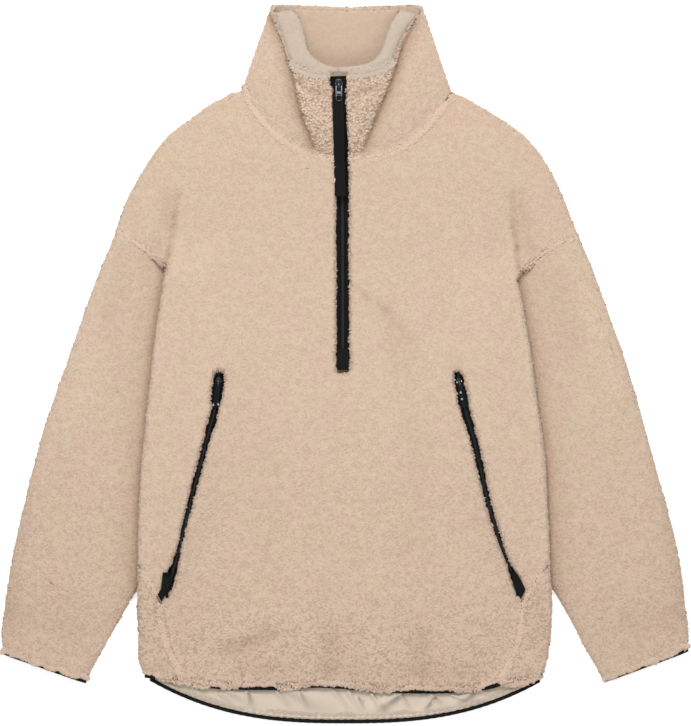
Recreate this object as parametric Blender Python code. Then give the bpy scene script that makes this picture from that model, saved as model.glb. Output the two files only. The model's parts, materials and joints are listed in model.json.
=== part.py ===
"""Sherpa fleece pullover with a funnel collar and a half zip, laid flat on its back.

All sizes below are millimetres. X runs across the garment, "up" runs from the lowest point of the back
hem towards the collar, and "high" is the height above the surface that the garment lies on. Left and
right are as seen from above. The cloth is built as walls: slabs cut to an outline, and lofted walls
where the cloth folds round on itself.
"""

import math

import bmesh
import bpy
import numpy as np
from mathutils.geometry import delaunay_2d_cdt

MM = 0.001

# Cloth
LENGTH = 864.8
WALL = 6.0
GAP = 0.3
SEAM = 0.5
EDGE_ROUND = 2.6
TUCKED_HEIGHT = 12.8
TUCKED_RUN = 56.0
TUCKED_CLEAR = 6.5
REST_AIR = 0.3
TRIM_AIR = 2.3
BODY_PUFF = 5.5
BODY_PUFF_RUN = 60.0
OUTLINE_STEP = 13.0
FRONT_GRID = 19.0
BACK_GRID = 19.0

# Neck and collar
NECK_CENTRE = 3.0
NECK_HALF_WIDTH = 125.0
NECK_FRONT_UP = 677.0
NECK_FRONT_RISE = 84.0
NECK_FRONT_POWER = 2.5
NECK_BACK_UP = 745.0
NECK_BACK_RISE = 15.0
COLLAR_LEVELS = 7
COLLAR_STEPS_PER_ROW = 3
BIB_RAISE = 5.0
FACING_WALL = 4.5
RIM_SIDES = 10
RIM_CLEAR = 1.8

# Hems
HEM_CORNER_UP = 54.0
HEM_CORNER_REACH = 240.0
HEM_CENTRE = 1.5
BACK_HEM_POWER = 2.65
BINDING_WIDTH = 5.0
FRONT_BINDING_HEIGHT = 4.0
CUFF_BINDING_LENGTH = 4.0
LINING_WALL = 0.9

# Zips
TAPE_HALF_WIDTH = 11.0
TAPE_WALL = 1.0
CHAIN_HALF_WIDTH = 2.8
CHAIN_HEIGHT = 2.0
FRONT_SLOT_HALF = 7.0
FRONT_STOP = {"half_width": 7.6, "length": 28.0, "wall": 1.2}
STRAP = {"half_width": 6.6, "length": 123.0, "wall": 1.6}
FRONT_PULLER = {"plate_width": 9.6, "plate_length": 15.0, "pull_width": 8.0, "pull_length": 19.5}
POCKET_PULLER = {"plate_width": 7.0, "plate_length": 10.5, "pull_width": 7.0, "pull_length": 30.0}
FRONT_HINGE_UP = 765.0


def table(columns, *rows):
    """A short table, as one array for each named column."""
    return dict(zip(columns.split(), np.array(rows, float).T))


# The body's sides, and above up=554 the crease where the body lies over the drop shoulder.
SIDES = table(
    "up left right",
    (40, 232, 233),
    (55, 237, 239),
    (72, 246, 244),
    (98, 249, 248),
    (139, 250, 250),
    (205, 249, 246),
    (271, 247, 243),
    (326, 243, 240),
    (394, 236, 230),
    (449, 230, 223),
    (528, 219, 209),
    (554, 214, 204),
    (588, 205, 201),
    (628, 200, 200),
    (660, 200, 200),
)

# The shoulder's outline, from the neck to the notch at the armhole seam.
SHOULDERS = {
    "left": table(
        "reach up",
        (124, 760),
        (138, 757.5),
        (152, 749),
        (165, 743),
        (187, 726),
        (214, 706),
        (239, 672),
        (263, 629),
        (275, 595),
    ),
    "right": table(
        "reach up",
        (129.5, 758.5),
        (137, 756.5),
        (151, 749),
        (175, 735),
        (191, 725),
        (216, 707),
        (239, 679),
        (259, 642),
        (280, 588),
    ),
}

# Each row is a line across a sleeve, from its outer fold to its inner fold, which lies under the body.
SLEEVES = {
    "left": table(
        "outer outer_up inner inner_up bow crown",
        (275, 592, 186, 520, 3, 16.5),
        (291, 555, 170, 474, 2, 18.5),
        (311, 503, 168, 420, 0, 19.5),
        (334, 436, 172, 360, 0, 20.5),
        (356, 375, 182, 305, 0, 20.5),
        (375, 308, 200, 250, 0, 20.5),
        (392, 240, 226, 198, 0, 19.5),
        (404, 180, 254, 152, 0, 18.5),
        (411, 130, 280, 106, 0, 16.5),
        (414, 106, 296, 77, 0, 16),
        (411, 88, 309, 52, 0, 14),
    ),
    "right": table(
        "outer outer_up inner inner_up bow crown",
        (281, 585, 184, 505, 10, 16.5),
        (296, 553, 170, 466, 5, 18.5),
        (312, 508, 167, 415, 0, 19.5),
        (335, 444, 171, 355, 0, 20.5),
        (354, 381, 181, 300, 0, 20.5),
        (371, 318, 198, 248, 0, 20.5),
        (389, 256, 222, 200, 0, 19.5),
        (403, 195, 249, 160, 0, 18.5),
        (410, 140, 272, 120, 0, 16.5),
        (414, 110, 290, 85, 0, 16),
        (412, 91, 309, 53, 0, 14),
    ),
}
SLEEVE_EDGE_RUN = 12.0
SLEEVE_RISE_RUN = 45.0
SLEEVE_SECTIONS = 18
SLEEVE_TOP_STEPS = 6
SLEEVE_RISE_START = 2.0
SLEEVE_SLIT = 0.8

# The lower side panels: a row from the diagonal seam down to the hem.
SIDE_PANEL_SECTIONS = 9
SIDE_PANELS = {
    "left": table(
        "outer outer_up front front_up back_up",
        (249, 192, 222, 145, 145),
        (250, 155, 221, 120, 118),
        (249, 112, 213, 92, 88),
        (249, 80, 204, 71, 62),
        (243, 61, 197, 56, 40),
    ),
    "right": table(
        "outer outer_up front front_up back_up",
        (246, 193, 214, 147, 147),
        (249, 155, 211, 120, 118),
        (248, 112, 206, 90, 86),
        (245, 80, 196, 70, 60),
        (240, 62, 187, 53, 36),
    ),
}

FRONT_HEM = table(
    "across up",
    (-241, 61),
    (-197, 56),
    (-160, 48),
    (-80, 46),
    (-28, 49),
    (52, 43),
    (114, 42),
    (169, 46),
    (187, 52),
    (238, 62),
)

# The collar band, from one side of the zip round the neck to the other. across is the neck seam,
# top and top_up the upper edge, top_high its height, front 1 on the front layer and 0 on the back
# layer, and rim and rim_up the inner edge of the rolled rim.
COLLAR = table(
    "across top top_up top_high front rim rim_up",
    (-11, -15.5, 777, 28, 1, -12, 787),
    (-41, -39, 779, 30, 1, -29, 793),
    (-72, -63, 788, 30, 1, -43, 806),
    (-97, -73, 812, 28, 1, -48, 826),
    (-112, -81, 836, 25, 1, -52, 843),
    (-119, -86, 852, 20, 1, -62, 856),
    (-121, -86.5, 860, 13, 0.62, -66, 858),
    (-117, -82, 864, 6, 0.12, -66, 858),
    (-104, -70, 864, 3, 0, -66, 858),
    (-52, -35, 863, 3, 0, -35, 858),
    (3, 3, 861, 3, 0, 3, 858),
    (58, 40, 863, 3, 0, 40, 858),
    (110, 74, 864, 3, 0, 70, 859),
    (122, 86, 864, 6, 0.12, 70, 859),
    (125, 90.5, 860, 13, 0.62, 70, 859),
    (123, 88.5, 850, 20, 1, 66, 857),
    (116, 77, 834, 25, 1, 57, 845),
    (102, 65, 812, 28, 1, 49, 826),
    (76, 55, 789, 30, 1, 43, 807),
    (41, 24, 779, 30, 1, 29, 792),
    (4, -0.5, 777, 28, 1, -4, 787),
)
RIM_ROWS = 5

# The folds where the sides of the collar dip behind its front, from the rim down to the neck seam.
COLLAR_FOLDS = {
    "left": [(-88, 848), (-76, 822), (-70, 795), (-60, 750), (-50, 722), (-38, 700)],
    "right": [(84, 840), (70, 820), (62, 795), (46, 750), (34, 724), (20, 700)],
}

# Ridges and troughs of the body's cloth, along short lines.
BODY_FOLDS = table(
    "x0 up0 x1 up1 width height",
    (-199, 665, -204, 590, 9, -3.5),
    (-204, 590, -213, 560, 8, -4.5),
    (200, 665, 202, 600, 9, -3.5),
    (202, 600, 205, 562, 8, -4.5),
    (-186, 640, -196, 560, 14, 1.6),
    (186, 640, 194, 560, 14, 1.6),
    (-137, 84, -88, 112, 11, -2.6),
    (-118, 112, -70, 128, 16, 1.8),
    (-14, 66, -12, 92, 14, -2.0),
    (-44, 60, -34, 118, 15, 1.7),
    (18, 60, 20, 112, 15, 1.5),
    (84, 62, 92, 104, 13, -1.8),
    (118, 58, 112, 110, 16, 1.3),
    (5, 526, 50, 494, 7, -1.0),
    (50, 494, 80, 452, 9, -1.0),
    (96, 520, 88, 440, 26, 1.2),
    (-110, 560, -60, 470, 40, 1.2),
    (60, 610, 130, 560, 34, 1.2),
    (-60, 250, -20, 160, 34, -1.2),
    (60, 250, 40, 150, 30, 1.0),
)

SLEEVE_FOLDS = {
    "left": table(
        "x0 up0 x1 up1 width height",
        (262, 560, 286, 470, 14, -1.6),
        (300, 470, 330, 360, 16, 1.6),
        (268, 430, 300, 330, 14, -1.6),
        (340, 300, 372, 200, 15, -1.8),
        (290, 260, 330, 160, 18, 1.8),
        (300, 110, 372, 128, 12, -2.0),
    ),
    "right": table(
        "x0 up0 x1 up1 width height",
        (250, 540, 272, 450, 13, -1.8),
        (304, 500, 330, 400, 15, 1.5),
        (262, 400, 300, 280, 15, -1.6),
        (346, 330, 372, 230, 14, -1.8),
        (300, 230, 350, 140, 18, 1.8),
        (310, 120, 372, 140, 12, -2.0),
    ),
}

# Each pocket's slot, from its top to its lower tip, along the line of its zip.
POCKETS = {
    "left": table(
        "across up half",
        (-150, 424, 3.0),
        (-151, 416, 5.4),
        (-153, 398, 5.6),
        (-156, 376, 4.6),
        (-163, 350, 4.0),
        (-175, 305, 3.6),
        (-186, 263, 3.6),
        (-198, 212, 3.4),
        (-206, 184, 6.4),
        (-211, 164, 6.0),
        (-215, 152, 1.6),
    ),
    "right": table(
        "across up half",
        (134, 423, 3.0),
        (136, 415, 5.0),
        (140, 396, 5.6),
        (145, 373, 4.8),
        (154, 342, 4.2),
        (162, 308, 3.8),
        (171, 266, 3.6),
        (182, 230, 3.6),
        (191, 204, 3.4),
        (199, 184, 4.2),
        (206, 168, 6.0),
        (209, 155, 1.6),
    ),
}
POCKET_SCALE = 0.62
POCKET_HINGE_ALONG = 14.0
POCKET_STOPS = {"left": (24.0, 5.0), "right": (20.0, 4.4)}

SIGNS = {"left": -1.0, "right": 1.0}

FLEECE = (0.71, 0.55, 0.41)
FLEECE_RIM = (0.69, 0.60, 0.49)
FLEECE_INSIDE = (0.66, 0.47, 0.33)
LINING = (0.68, 0.56, 0.44)
BLACK = (0.012, 0.012, 0.011)
GUNMETAL = (0.10, 0.11, 0.12)


# ---- numbers ----


def smooth(value):
    value = np.clip(value, 0.0, 1.0)
    return value * value * (3.0 - 2.0 * value)


def curve_value(value, knots, values):
    """A smooth curve through the knots, which rise, and level beyond its ends."""
    slopes = np.gradient(values, knots)
    value = np.clip(value, knots[0], knots[-1])
    i = np.clip(np.searchsorted(knots, value) - 1, 0, len(knots) - 2)
    run = knots[i + 1] - knots[i]
    t = (value - knots[i]) / run
    start = values[i] * (1 + 2 * t) * (1 - t) ** 2 + slopes[i] * run * t * (1 - t) ** 2
    end = values[i + 1] * t * t * (3 - 2 * t) + slopes[i + 1] * run * t * t * (t - 1)
    return start + end


def row_values(rows, column, place):
    """A table's column read at a place between its rows, 0 at the first row."""
    return curve_value(place, np.arange(len(rows[column]), dtype=float), rows[column])


def spaced(points, step):
    """Points about a step apart along a polyline, with its own ends."""
    lengths = np.concatenate([[0.0], np.cumsum(np.linalg.norm(np.diff(points, axis=0), axis=1))])
    count = max(2, int(round(lengths[-1] / step)) + 1)
    marks = np.linspace(0.0, lengths[-1], count)
    return np.column_stack([np.interp(marks, lengths, column) for column in points.T])


def spline(points, step):
    """Points about a step apart on a smooth curve through the given ones."""
    points = np.asarray(points, float)
    padded = np.vstack([2 * points[0] - points[1], points, 2 * points[-1] - points[-2]])
    t = np.linspace(0.0, 1.0, 16, endpoint=False)[:, None]
    runs = []
    for a, b, c, d in zip(padded, padded[1:], padded[2:], padded[3:]):
        cubic = (2 * a - 5 * b + 4 * c - d) * t**2 + (3 * b - a - 3 * c + d) * t**3
        runs.append(0.5 * (2 * b + (c - a) * t + cubic))
    return spaced(np.vstack(runs + [points[-1:]]), step)


def distance_to(x, up, line):
    """The distance from each place to a polyline."""
    here = np.stack([np.asarray(x, float), np.asarray(up, float)], axis=-1)[..., None, :]
    start = line[:-1]
    run = line[1:] - line[:-1]
    share = np.clip(((here - start) * run).sum(-1) / (run * run).sum(-1), 0.0, 1.0)
    nearest = start + share[..., None] * run
    return np.linalg.norm(here - nearest, axis=-1).min(-1)


def folds(x, up, rows):
    """The sum of a table of soft ridges and troughs."""
    total = np.zeros(np.broadcast(x, up).shape)
    for x0, up0, x1, up1, width, height in zip(*rows.values()):
        away = distance_to(x, up, np.array([(x0, up0), (x1, up1)]))
        total = total + height * np.exp(-((away / width) ** 2))
    return total


def by_side(x, of_left, of_right):
    return np.where(np.asarray(x) < 0, of_left, of_right)


# ---- where the cloth lies ----


def body_side(x, up):
    """How far the body, or its crease, reaches on the side of x."""
    return by_side(x, *(curve_value(up, SIDES["up"], SIDES[side]) for side in ("left", "right")))


def sleeve_line(side, place, across):
    """Places on a line across a sleeve: across is 0 at the outer fold and 1 at the inner one."""
    rows = SLEEVES[side]
    outer, outer_up, inner, inner_up, bow = (
        row_values(rows, name, place) for name in ("outer", "outer_up", "inner", "inner_up", "bow")
    )
    width = np.hypot(inner - outer, inner_up - outer_up)
    arch = bow * 4 * across * (1 - across) / width
    reach = outer + (inner - outer) * across + (inner_up - outer_up) * arch
    up = outer_up + (inner_up - outer_up) * across - (inner - outer) * arch
    return reach, up


def sleeve_inner(side, up):
    rows = SLEEVES[side]
    return curve_value(up, rows["inner_up"][::-1], rows["inner"][::-1])


def sleeve_end(side, reach):
    """How far up the hidden end of a sleeve lies."""
    line_reach, line_up = sleeve_line(side, 0.0, np.linspace(1.0, 0.0, 12))
    return np.interp(reach, line_reach, line_up)


def lift(x, up):
    """How far the part of a sleeve that lies under the body raises the cloth on it."""
    reach = np.abs(x)
    inner = by_side(x, sleeve_inner("left", up), sleeve_inner("right", up))
    end = by_side(x, sleeve_end("left", reach), sleeve_end("right", reach))
    over_strip = smooth((reach - inner + TUCKED_RUN + TUCKED_CLEAR) / TUCKED_RUN)
    below_end = 1 - smooth((up - end - 2 * TUCKED_CLEAR) / 45)
    inside_crease = 1 - smooth((reach - body_side(x, up)) / 25)
    return (TUCKED_HEIGHT + GAP) * over_strip * below_end * inside_crease


def fold_line(side):
    """The outline where the front and the back meet: the shoulder, and the body's side."""
    sign = SIGNS[side]
    shoulder = SHOULDERS[side]
    sides = SIDES["up"] < 555
    upper = np.column_stack([sign * shoulder["reach"], shoulder["up"]])
    lower = np.column_stack([sign * SIDES[side][sides], SIDES["up"][sides]])
    return upper, lower


def trim_air(x, up):
    """How far the front lies off the back: it rests on it, but for the zips and the lining between."""
    lines = [np.array([(-2.6, 424), (-2.8, 600), (-3.6, 680)])]
    lines += [np.column_stack([rows["across"], rows["up"]]) for rows in POCKETS.values()]
    away = np.min([distance_to(x, up, line) for line in lines], axis=0)
    over_trim = np.maximum(1 - smooth((away - 14) / 32), 1 - smooth((np.asarray(up) - 95) / 40))
    return REST_AIR + (TRIM_AIR - REST_AIR) * over_trim


def puff(x, up):
    """How much thicker the pile stands where no seam holds it down."""
    lines = [line for side in SIGNS for line in fold_line(side)]
    away = np.min([distance_to(x, up, line) for line in lines], axis=0)
    near_hem = 0.3 + 0.7 * smooth((np.asarray(up) - HEM_CORNER_UP) / 110)
    return BODY_PUFF * smooth(away / BODY_PUFF_RUN) * near_hem


def back_top(x, up):
    return lift(x, up) + WALL


def front_heights(x, up):
    """The underside and the top of the front panel's wall."""
    floor = back_top(x, up) + 2 * GAP
    under = floor + trim_air(x, up)
    top = floor + TRIM_AIR + WALL + puff(x, up) + folds(x, up, BODY_FOLDS)
    return under, np.maximum(top, under + 0.8 * WALL)


def neck_front(x):
    return NECK_FRONT_UP + NECK_FRONT_RISE * np.abs((x - NECK_CENTRE) / NECK_HALF_WIDTH) ** NECK_FRONT_POWER


def neck_back(x):
    return NECK_BACK_UP + NECK_BACK_RISE * ((x - NECK_CENTRE) / NECK_HALF_WIDTH) ** 2


def back_hem(x):
    return HEM_CORNER_UP * np.abs((x - HEM_CENTRE) / HEM_CORNER_REACH) ** BACK_HEM_POWER


# ---- meshes ----

GARMENT = bpy.data.objects.new("garment", None)


def finish(name, colour, roughness, metallic=0.0):
    material = bpy.data.materials.get(name) or bpy.data.materials.new(name)
    material.use_nodes = True
    shader = material.node_tree.nodes["Principled BSDF"]
    shader.inputs["Base Color"].default_value = (*colour, 1.0)
    shader.inputs["Roughness"].default_value = roughness
    shader.inputs["Metallic"].default_value = metallic
    return material


def place(name, points, faces, material, origin=(0.0, 0.0, 0.0)):
    """An object from points in millimetres, with its own origin, held by the garment's empty."""
    origin = np.array(origin, float)
    mesh = bpy.data.meshes.new(name)
    mesh.from_pydata(((np.asarray(points) - origin) * MM).tolist(), [], faces)
    work = bmesh.new()
    work.from_mesh(mesh)
    bmesh.ops.recalc_face_normals(work, faces=work.faces)
    work.to_mesh(mesh)
    work.free()
    mesh.shade_smooth()
    mesh.materials.append(material)
    piece = bpy.data.objects.new(name, mesh)
    piece.location = origin * MM
    piece.parent = GARMENT
    bpy.context.scene.collection.objects.link(piece)
    return piece


def shifted(loop, distance):
    """A closed loop moved to its left: inwards where it runs anticlockwise."""
    before = loop - np.roll(loop, 1, axis=0)
    after = np.roll(loop, -1, axis=0) - loop
    before = before / np.linalg.norm(before, axis=1, keepdims=True)
    after = after / np.linalg.norm(after, axis=1, keepdims=True)
    along = before + after
    along = along / np.linalg.norm(along, axis=1, keepdims=True)
    left = np.column_stack([-along[:, 1], along[:, 0]])
    spread = np.clip((along * after).sum(1), 0.6, 1.0)
    return loop + left * (distance / spread)[:, None]


def inside(points, loops):
    """Which points lie inside the outline and outside its openings."""
    found = np.zeros(len(points), bool)
    for loop in loops:
        for (x0, y0), (x1, y1) in zip(loop, np.roll(loop, -1, axis=0)):
            spans = (y0 > points[:, 1]) != (y1 > points[:, 1])
            if y0 != y1:
                crossing = x0 + (points[:, 1] - y0) * (x1 - x0) / (y1 - y0)
                found ^= spans & (points[:, 0] < crossing)
    return found


def grid_inside(loops, step):
    """A staggered grid of points inside the loops, kept clear of their edges."""
    low = loops[0].min(0)
    high = loops[0].max(0)
    row = step * math.sqrt(3) / 2
    points = []
    for number in range(math.floor(low[1] / row), math.ceil(high[1] / row)):
        start = (math.floor(low[0] / step) + 0.5 * (number % 2)) * step
        points += [(x, number * row) for x in np.arange(start, high[0], step)]
    points = np.array(points)
    points = points[inside(points, loops)]
    for loop in loops:
        closed = np.vstack([loop, loop[:1]])
        points = points[distance_to(points[:, 0], points[:, 1], closed) > 0.5 * step]
    return points


def slab(name, loops, heights, step, material, edge=EDGE_ROUND):
    """A wall cut to an outline, with any openings, and rounded all round its edges.

    The outline runs anticlockwise and the openings clockwise. heights gives the underside and the
    top at each place.
    """
    inner = [shifted(loop, edge) for loop in loops]
    flat = np.vstack(inner + [grid_inside(inner, step)])
    edges = []
    first = 0
    for loop in inner:
        count = len(loop)
        edges += [(first + i, first + (i + 1) % count) for i in range(count)]
        first += count
    found, _, triangles, origins, _, _ = delaunay_2d_cdt([tuple(p) for p in flat], edges, [], 0, 1e-6)
    flat_out = np.array([tuple(p) for p in found])
    where = {old: new for new, olds in enumerate(origins) for old in olds}
    centres = flat_out[np.array([list(t) for t in triangles])].mean(1)
    kept = [list(t) for t, keep in zip(triangles, inside(centres, inner)) if keep]

    under, top = heights(flat_out[:, 0], flat_out[:, 1])
    count = len(flat_out)
    points = [np.column_stack([flat_out, top]), np.column_stack([flat_out, under])]
    faces = [tuple(t) for t in kept] + [tuple(count + i for i in reversed(t)) for t in kept]
    first = 0
    rim = 2 * count
    for loop in loops:
        low, high = heights(loop[:, 0], loop[:, 1])
        points.append(np.column_stack([loop, (low + high) / 2]))
        size = len(loop)
        for i in range(size):
            j = (i + 1) % size
            a, b = where[first + i], where[first + j]
            faces.append((rim + i, rim + j, b, a))
            faces.append((count + a, count + b, rim + j, rim + i))
        first += size
        rim += size
    return place(name, np.vstack(points), faces, material)


def loft(name, sections, material, origin=(0.0, 0.0, 0.0)):
    """A solid through closed sections that have equally many points, capped at both ends."""
    sections = np.asarray(sections, float)
    count, size = sections.shape[:2]
    faces = []
    for m in range(count - 1):
        for n in range(size):
            k = (n + 1) % size
            faces.append((m * size + n, m * size + k, (m + 1) * size + k, (m + 1) * size + n))
    faces.append(tuple(range(size)))
    faces.append(tuple((count - 1) * size + n for n in range(size)))
    return place(name, sections.reshape(-1, 3), faces, material, origin)


def wall(name, outer, inner, closed, material):
    """A lofted wall between outer and inner points, a tube if closed and otherwise open along one side."""
    outer = np.asarray(outer, float)
    inner = np.asarray(inner, float)
    count, size = outer.shape[:2]
    shift = count * size
    faces = []
    for m in range(count - 1):
        for n in range(size if closed else size - 1):
            k = (n + 1) % size
            quad = (m * size + n, m * size + k, (m + 1) * size + k, (m + 1) * size + n)
            faces.append(quad)
            faces.append(tuple(shift + i for i in reversed(quad)))
    for m in (0, count - 1):
        for n in range(size if closed else size - 1):
            a, b = m * size + n, m * size + (n + 1) % size
            faces.append((a, b, shift + b, shift + a))
    if not closed:
        for n in (0, size - 1):
            for m in range(count - 1):
                a, b = m * size + n, (m + 1) * size + n
                faces.append((a, b, shift + b, shift + a))
    points = np.vstack([outer.reshape(-1, 3), inner.reshape(-1, 3)])
    return place(name, points, faces, material)


# ---- outlines ----


def seam_points(side, end_reach):
    """The armhole seam from the notch in the outline to where it goes under the body."""
    reach, up = sleeve_line(side, 0.0, np.linspace(0.0, 1.0, 40))
    shown = reach >= end_reach
    return np.column_stack([SIGNS[side] * reach[shown], up[shown] + 2.4 * SEAM])


def side_outline(side, hem_up_column):
    """One side of a body panel, from the hem seam up to the neck."""
    sign = SIGNS[side]
    rows = SIDE_PANELS[side]
    places = np.linspace(0.0, len(rows["front"]) - 1, SIDE_PANEL_SECTIONS)
    seam_reach = row_values(rows, "front", places) - 1.5 * SEAM
    seam = np.column_stack([sign * seam_reach, row_values(rows, hem_up_column, places)])[::-1]
    diagonal = np.array([(sign * seam_reach[0], rows["front_up"][0] + 2.0 * SEAM)])
    corner_up = rows["outer_up"][0] + 4 * SEAM
    corner = np.array([(sign * rows["outer"][0], corner_up)])
    chosen = (SIDES["up"] > corner_up + 5) & (SIDES["up"] < 550)
    under_arm = float(body_side(sign, 550.0))
    body = np.column_stack([sign * SIDES[side][chosen], SIDES["up"][chosen]])
    arm = seam_points(side, under_arm)[::-1]
    upper, _ = fold_line(side)
    parts = [
        seam,
        spaced(np.vstack([diagonal, corner]), 20.0),
        spline(np.vstack([corner, body, arm[:1] - (0, 2.5)]), 18.0),
        spaced(arm, OUTLINE_STEP),
        spline(upper[::-1], OUTLINE_STEP),
    ]
    return join(parts)


def join(parts):
    """Lines joined end to end, without the points that lie on each other."""
    points = [parts[0][0]]
    for point in np.vstack(parts)[1:]:
        if np.linalg.norm(point - points[-1]) > 2.5:
            points.append(point)
    return np.array(points)


def body_outline(hem, hem_up_column, neck):
    """A body panel's outline, anticlockwise from the left end of its hem."""
    right = side_outline("right", hem_up_column)
    left = side_outline("left", hem_up_column)
    across = np.linspace(right[-1][0], left[-1][0], 40)
    ends = np.interp(across, (left[-1][0], right[-1][0]), (left[-1][1], right[-1][1]))
    neck_line = spaced(np.column_stack([across, np.minimum(neck(across) - SEAM / 2, ends)]), OUTLINE_STEP)
    outline = join([hem, right, neck_line, left[::-1]])
    if np.linalg.norm(outline[0] - outline[-1]) < 2.5:
        outline = outline[:-1]
    return outline


def slot(rows, grow=0.0, step=9.0):
    """A slot's clockwise loop round a line of places with a half width at each."""
    middle = np.column_stack([rows["across"], rows["up"]])
    run = np.gradient(middle, axis=0)
    run = run / np.linalg.norm(run, axis=1, keepdims=True)
    left = np.column_stack([-run[:, 1], run[:, 0]])
    half = (rows["half"] + grow)[:, None]
    one = spline(middle + left * half, step)
    other = spline(middle - left * half, step)
    loop = np.vstack([one, other[::-1]])
    after = np.roll(loop, -1, axis=0)
    area = (loop[:, 0] * after[:, 1] - loop[:, 1] * after[:, 0]).sum()
    return loop if area < 0 else loop[::-1]


def zip_centre(up):
    """Where the front zip's middle lies across the garment."""
    return np.interp(up, (420, 600, 677, 780), (-2.6, -2.8, -3.6, -8.0))


def front_slot():
    """The opening for the half zip, open at the neck seam and wider round its end patch."""
    half = FRONT_SLOT_HALF
    wide = FRONT_STOP["half_width"] + 0.6
    ups = np.array([422.0, 424.0, 451.0, 457.0, 500.0, 560.0, 620.0, neck_front(-4.0) - SEAM / 2])
    halves = np.array([wide - 2, wide, wide, half, half, half, half, half])
    middle = zip_centre(ups)
    down = np.column_stack([middle + halves, ups])[::-1]
    return np.vstack([down, np.column_stack([middle - halves, ups])])


# ---- cloth ----


def make_front_panel():
    hem = hem_between_seams(spline(np.column_stack([FRONT_HEM["across"], FRONT_HEM["up"]]), 4.0), 0.0)
    outline = body_outline(hem, "front_up", neck_front)
    cut = front_slot()
    at_neck = np.flatnonzero((np.abs(outline[:, 0]) < 60) & (outline[:, 1] > NECK_FRONT_UP - 5))
    before = outline[: at_neck[0]]
    after = outline[at_neck[-1] + 1 :]
    right_neck = outline[at_neck][outline[at_neck][:, 0] > cut[0][0] + 4]
    left_neck = outline[at_neck][outline[at_neck][:, 0] < cut[-1][0] - 4]
    outline = np.vstack([before, right_neck, cut, left_neck, after])
    loops = [outline] + [slot(POCKETS[side]) for side in SIGNS]
    return slab("front_panel", loops, front_heights, FRONT_GRID, finish("fleece", FLEECE, 0.95))


def hem_between_seams(line, inset):
    """The part of a hem's line that lies between the two side panels."""
    low = 4.0 - SIDE_PANELS["left"]["front"][-1]
    high = SIDE_PANELS["right"]["front"][-1] - 4.0
    shown = (line[:, 0] > low) & (line[:, 0] < high)
    return spaced(line[shown] + (0.0, inset), 20.0)


def make_back_panel():
    across = np.linspace(-HEM_CORNER_REACH, HEM_CORNER_REACH, 120)
    hem = hem_between_seams(np.column_stack([across, back_hem(across)]), BINDING_WIDTH + GAP)
    outline = body_outline(hem, "back_up", neck_back)
    return slab(
        "back_panel",
        [outline],
        lambda x, up: (lift(x, up), back_top(x, up)),
        BACK_GRID,
        finish("fleece", FLEECE, 0.95),
    )


def sleeve_height(side, reach, up, crown):
    """The top of a sleeve: low where it goes under the body, then rising to its crown."""
    out = reach - body_side(SIGNS[side], up) - SLEEVE_RISE_START
    height = TUCKED_HEIGHT + (crown - TUCKED_HEIGHT) * smooth(out / SLEEVE_RISE_RUN)
    shown = smooth(out / 20)
    return height + shown * folds(reach, up, SLEEVE_FOLDS[side])


def crease_on(side, place_along, width):
    """How far from its outer fold a sleeve goes under the edge of the body."""
    across = np.linspace(0.0, 1.0, 60)
    reach, up = sleeve_line(side, place_along, across)
    tucked = body_side(SIGNS[side], up) - reach
    most = width - 2 * SLEEVE_EDGE_RUN
    if tucked[-1] < 0:
        return most
    return min(float(np.interp(0.0, tucked, across)) * width, most)


def tube_section(side, place_along, wall_in):
    """One section of a sleeve's tube, moved in by a share of its wall."""
    rows = SLEEVES[side]
    width = float(
        np.hypot(
            row_values(rows, "outer", place_along) - row_values(rows, "inner", place_along),
            row_values(rows, "outer_up", place_along) - row_values(rows, "inner_up", place_along),
        )
    )
    crown = float(row_values(rows, "crown", place_along))
    run = SLEEVE_EDGE_RUN - wall_in
    quarter = [1 - math.cos(math.radians(a)) for a in (0, 45)]
    near = wall_in + run * np.array(quarter)
    crease = crease_on(side, place_along, width)
    shown = np.linspace(SLEEVE_EDGE_RUN, crease, SLEEVE_TOP_STEPS)
    tucked = np.linspace(crease, width - SLEEVE_EDGE_RUN, 3)[1:]
    top = np.concatenate([near[1:], shown, tucked, (width - near[1:])[::-1]])
    ring = np.concatenate([near[:1], top, [width - near[0]], top[::-1]])
    upper = np.concatenate([[0.0], np.ones(len(top)), [0.0], -np.ones(len(top))])
    reach, up = sleeve_line(side, place_along, ring / width)
    height = sleeve_height(side, reach, up, crown)
    edge = np.minimum(ring, width - ring) - wall_in
    share = np.sqrt(np.clip(1 - (1 - np.clip(edge / run, 0, 1)) ** 2, 0, 1))
    half = SLEEVE_SLIT / 2 if wall_in else height / 2
    high = height / 2 + upper * half * share
    return np.column_stack([SIGNS[side] * reach, up, high])


def make_sleeve(side):
    last = len(SLEEVES[side]["outer"]) - 1
    places = np.linspace(0.0, last, SLEEVE_SECTIONS)
    outer = [tube_section(side, p, 0.0) for p in places]
    inner = [tube_section(side, p, WALL) for p in places]
    return wall(f"sleeve_{side}", outer, inner, True, finish("fleece", FLEECE, 0.95))


def make_cuff_binding(side):
    """A flat ring just past the end of the sleeve, along its direction."""
    last = len(SLEEVES[side]["outer"]) - 1.0
    outer = tube_section(side, last, 0.0)
    inner = tube_section(side, last, WALL - 0.4)
    rows = SLEEVES[side]
    across = np.array([rows["inner"][-1] - rows["outer"][-1], rows["inner_up"][-1] - rows["outer_up"][-1]])
    across = across / np.linalg.norm(across)
    along = np.array([SIGNS[side] * -across[1], across[0], 0.0]) * -1
    along = along if along[1] < 0 else -along
    ends = (GAP, GAP + CUFF_BINDING_LENGTH * 0.5, GAP + CUFF_BINDING_LENGTH)
    return wall(
        f"cuff_binding_{side}",
        [outer + along * end for end in ends],
        [inner + along * end for end in ends],
        True,
        finish("binding", BLACK, 0.8),
    )


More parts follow.
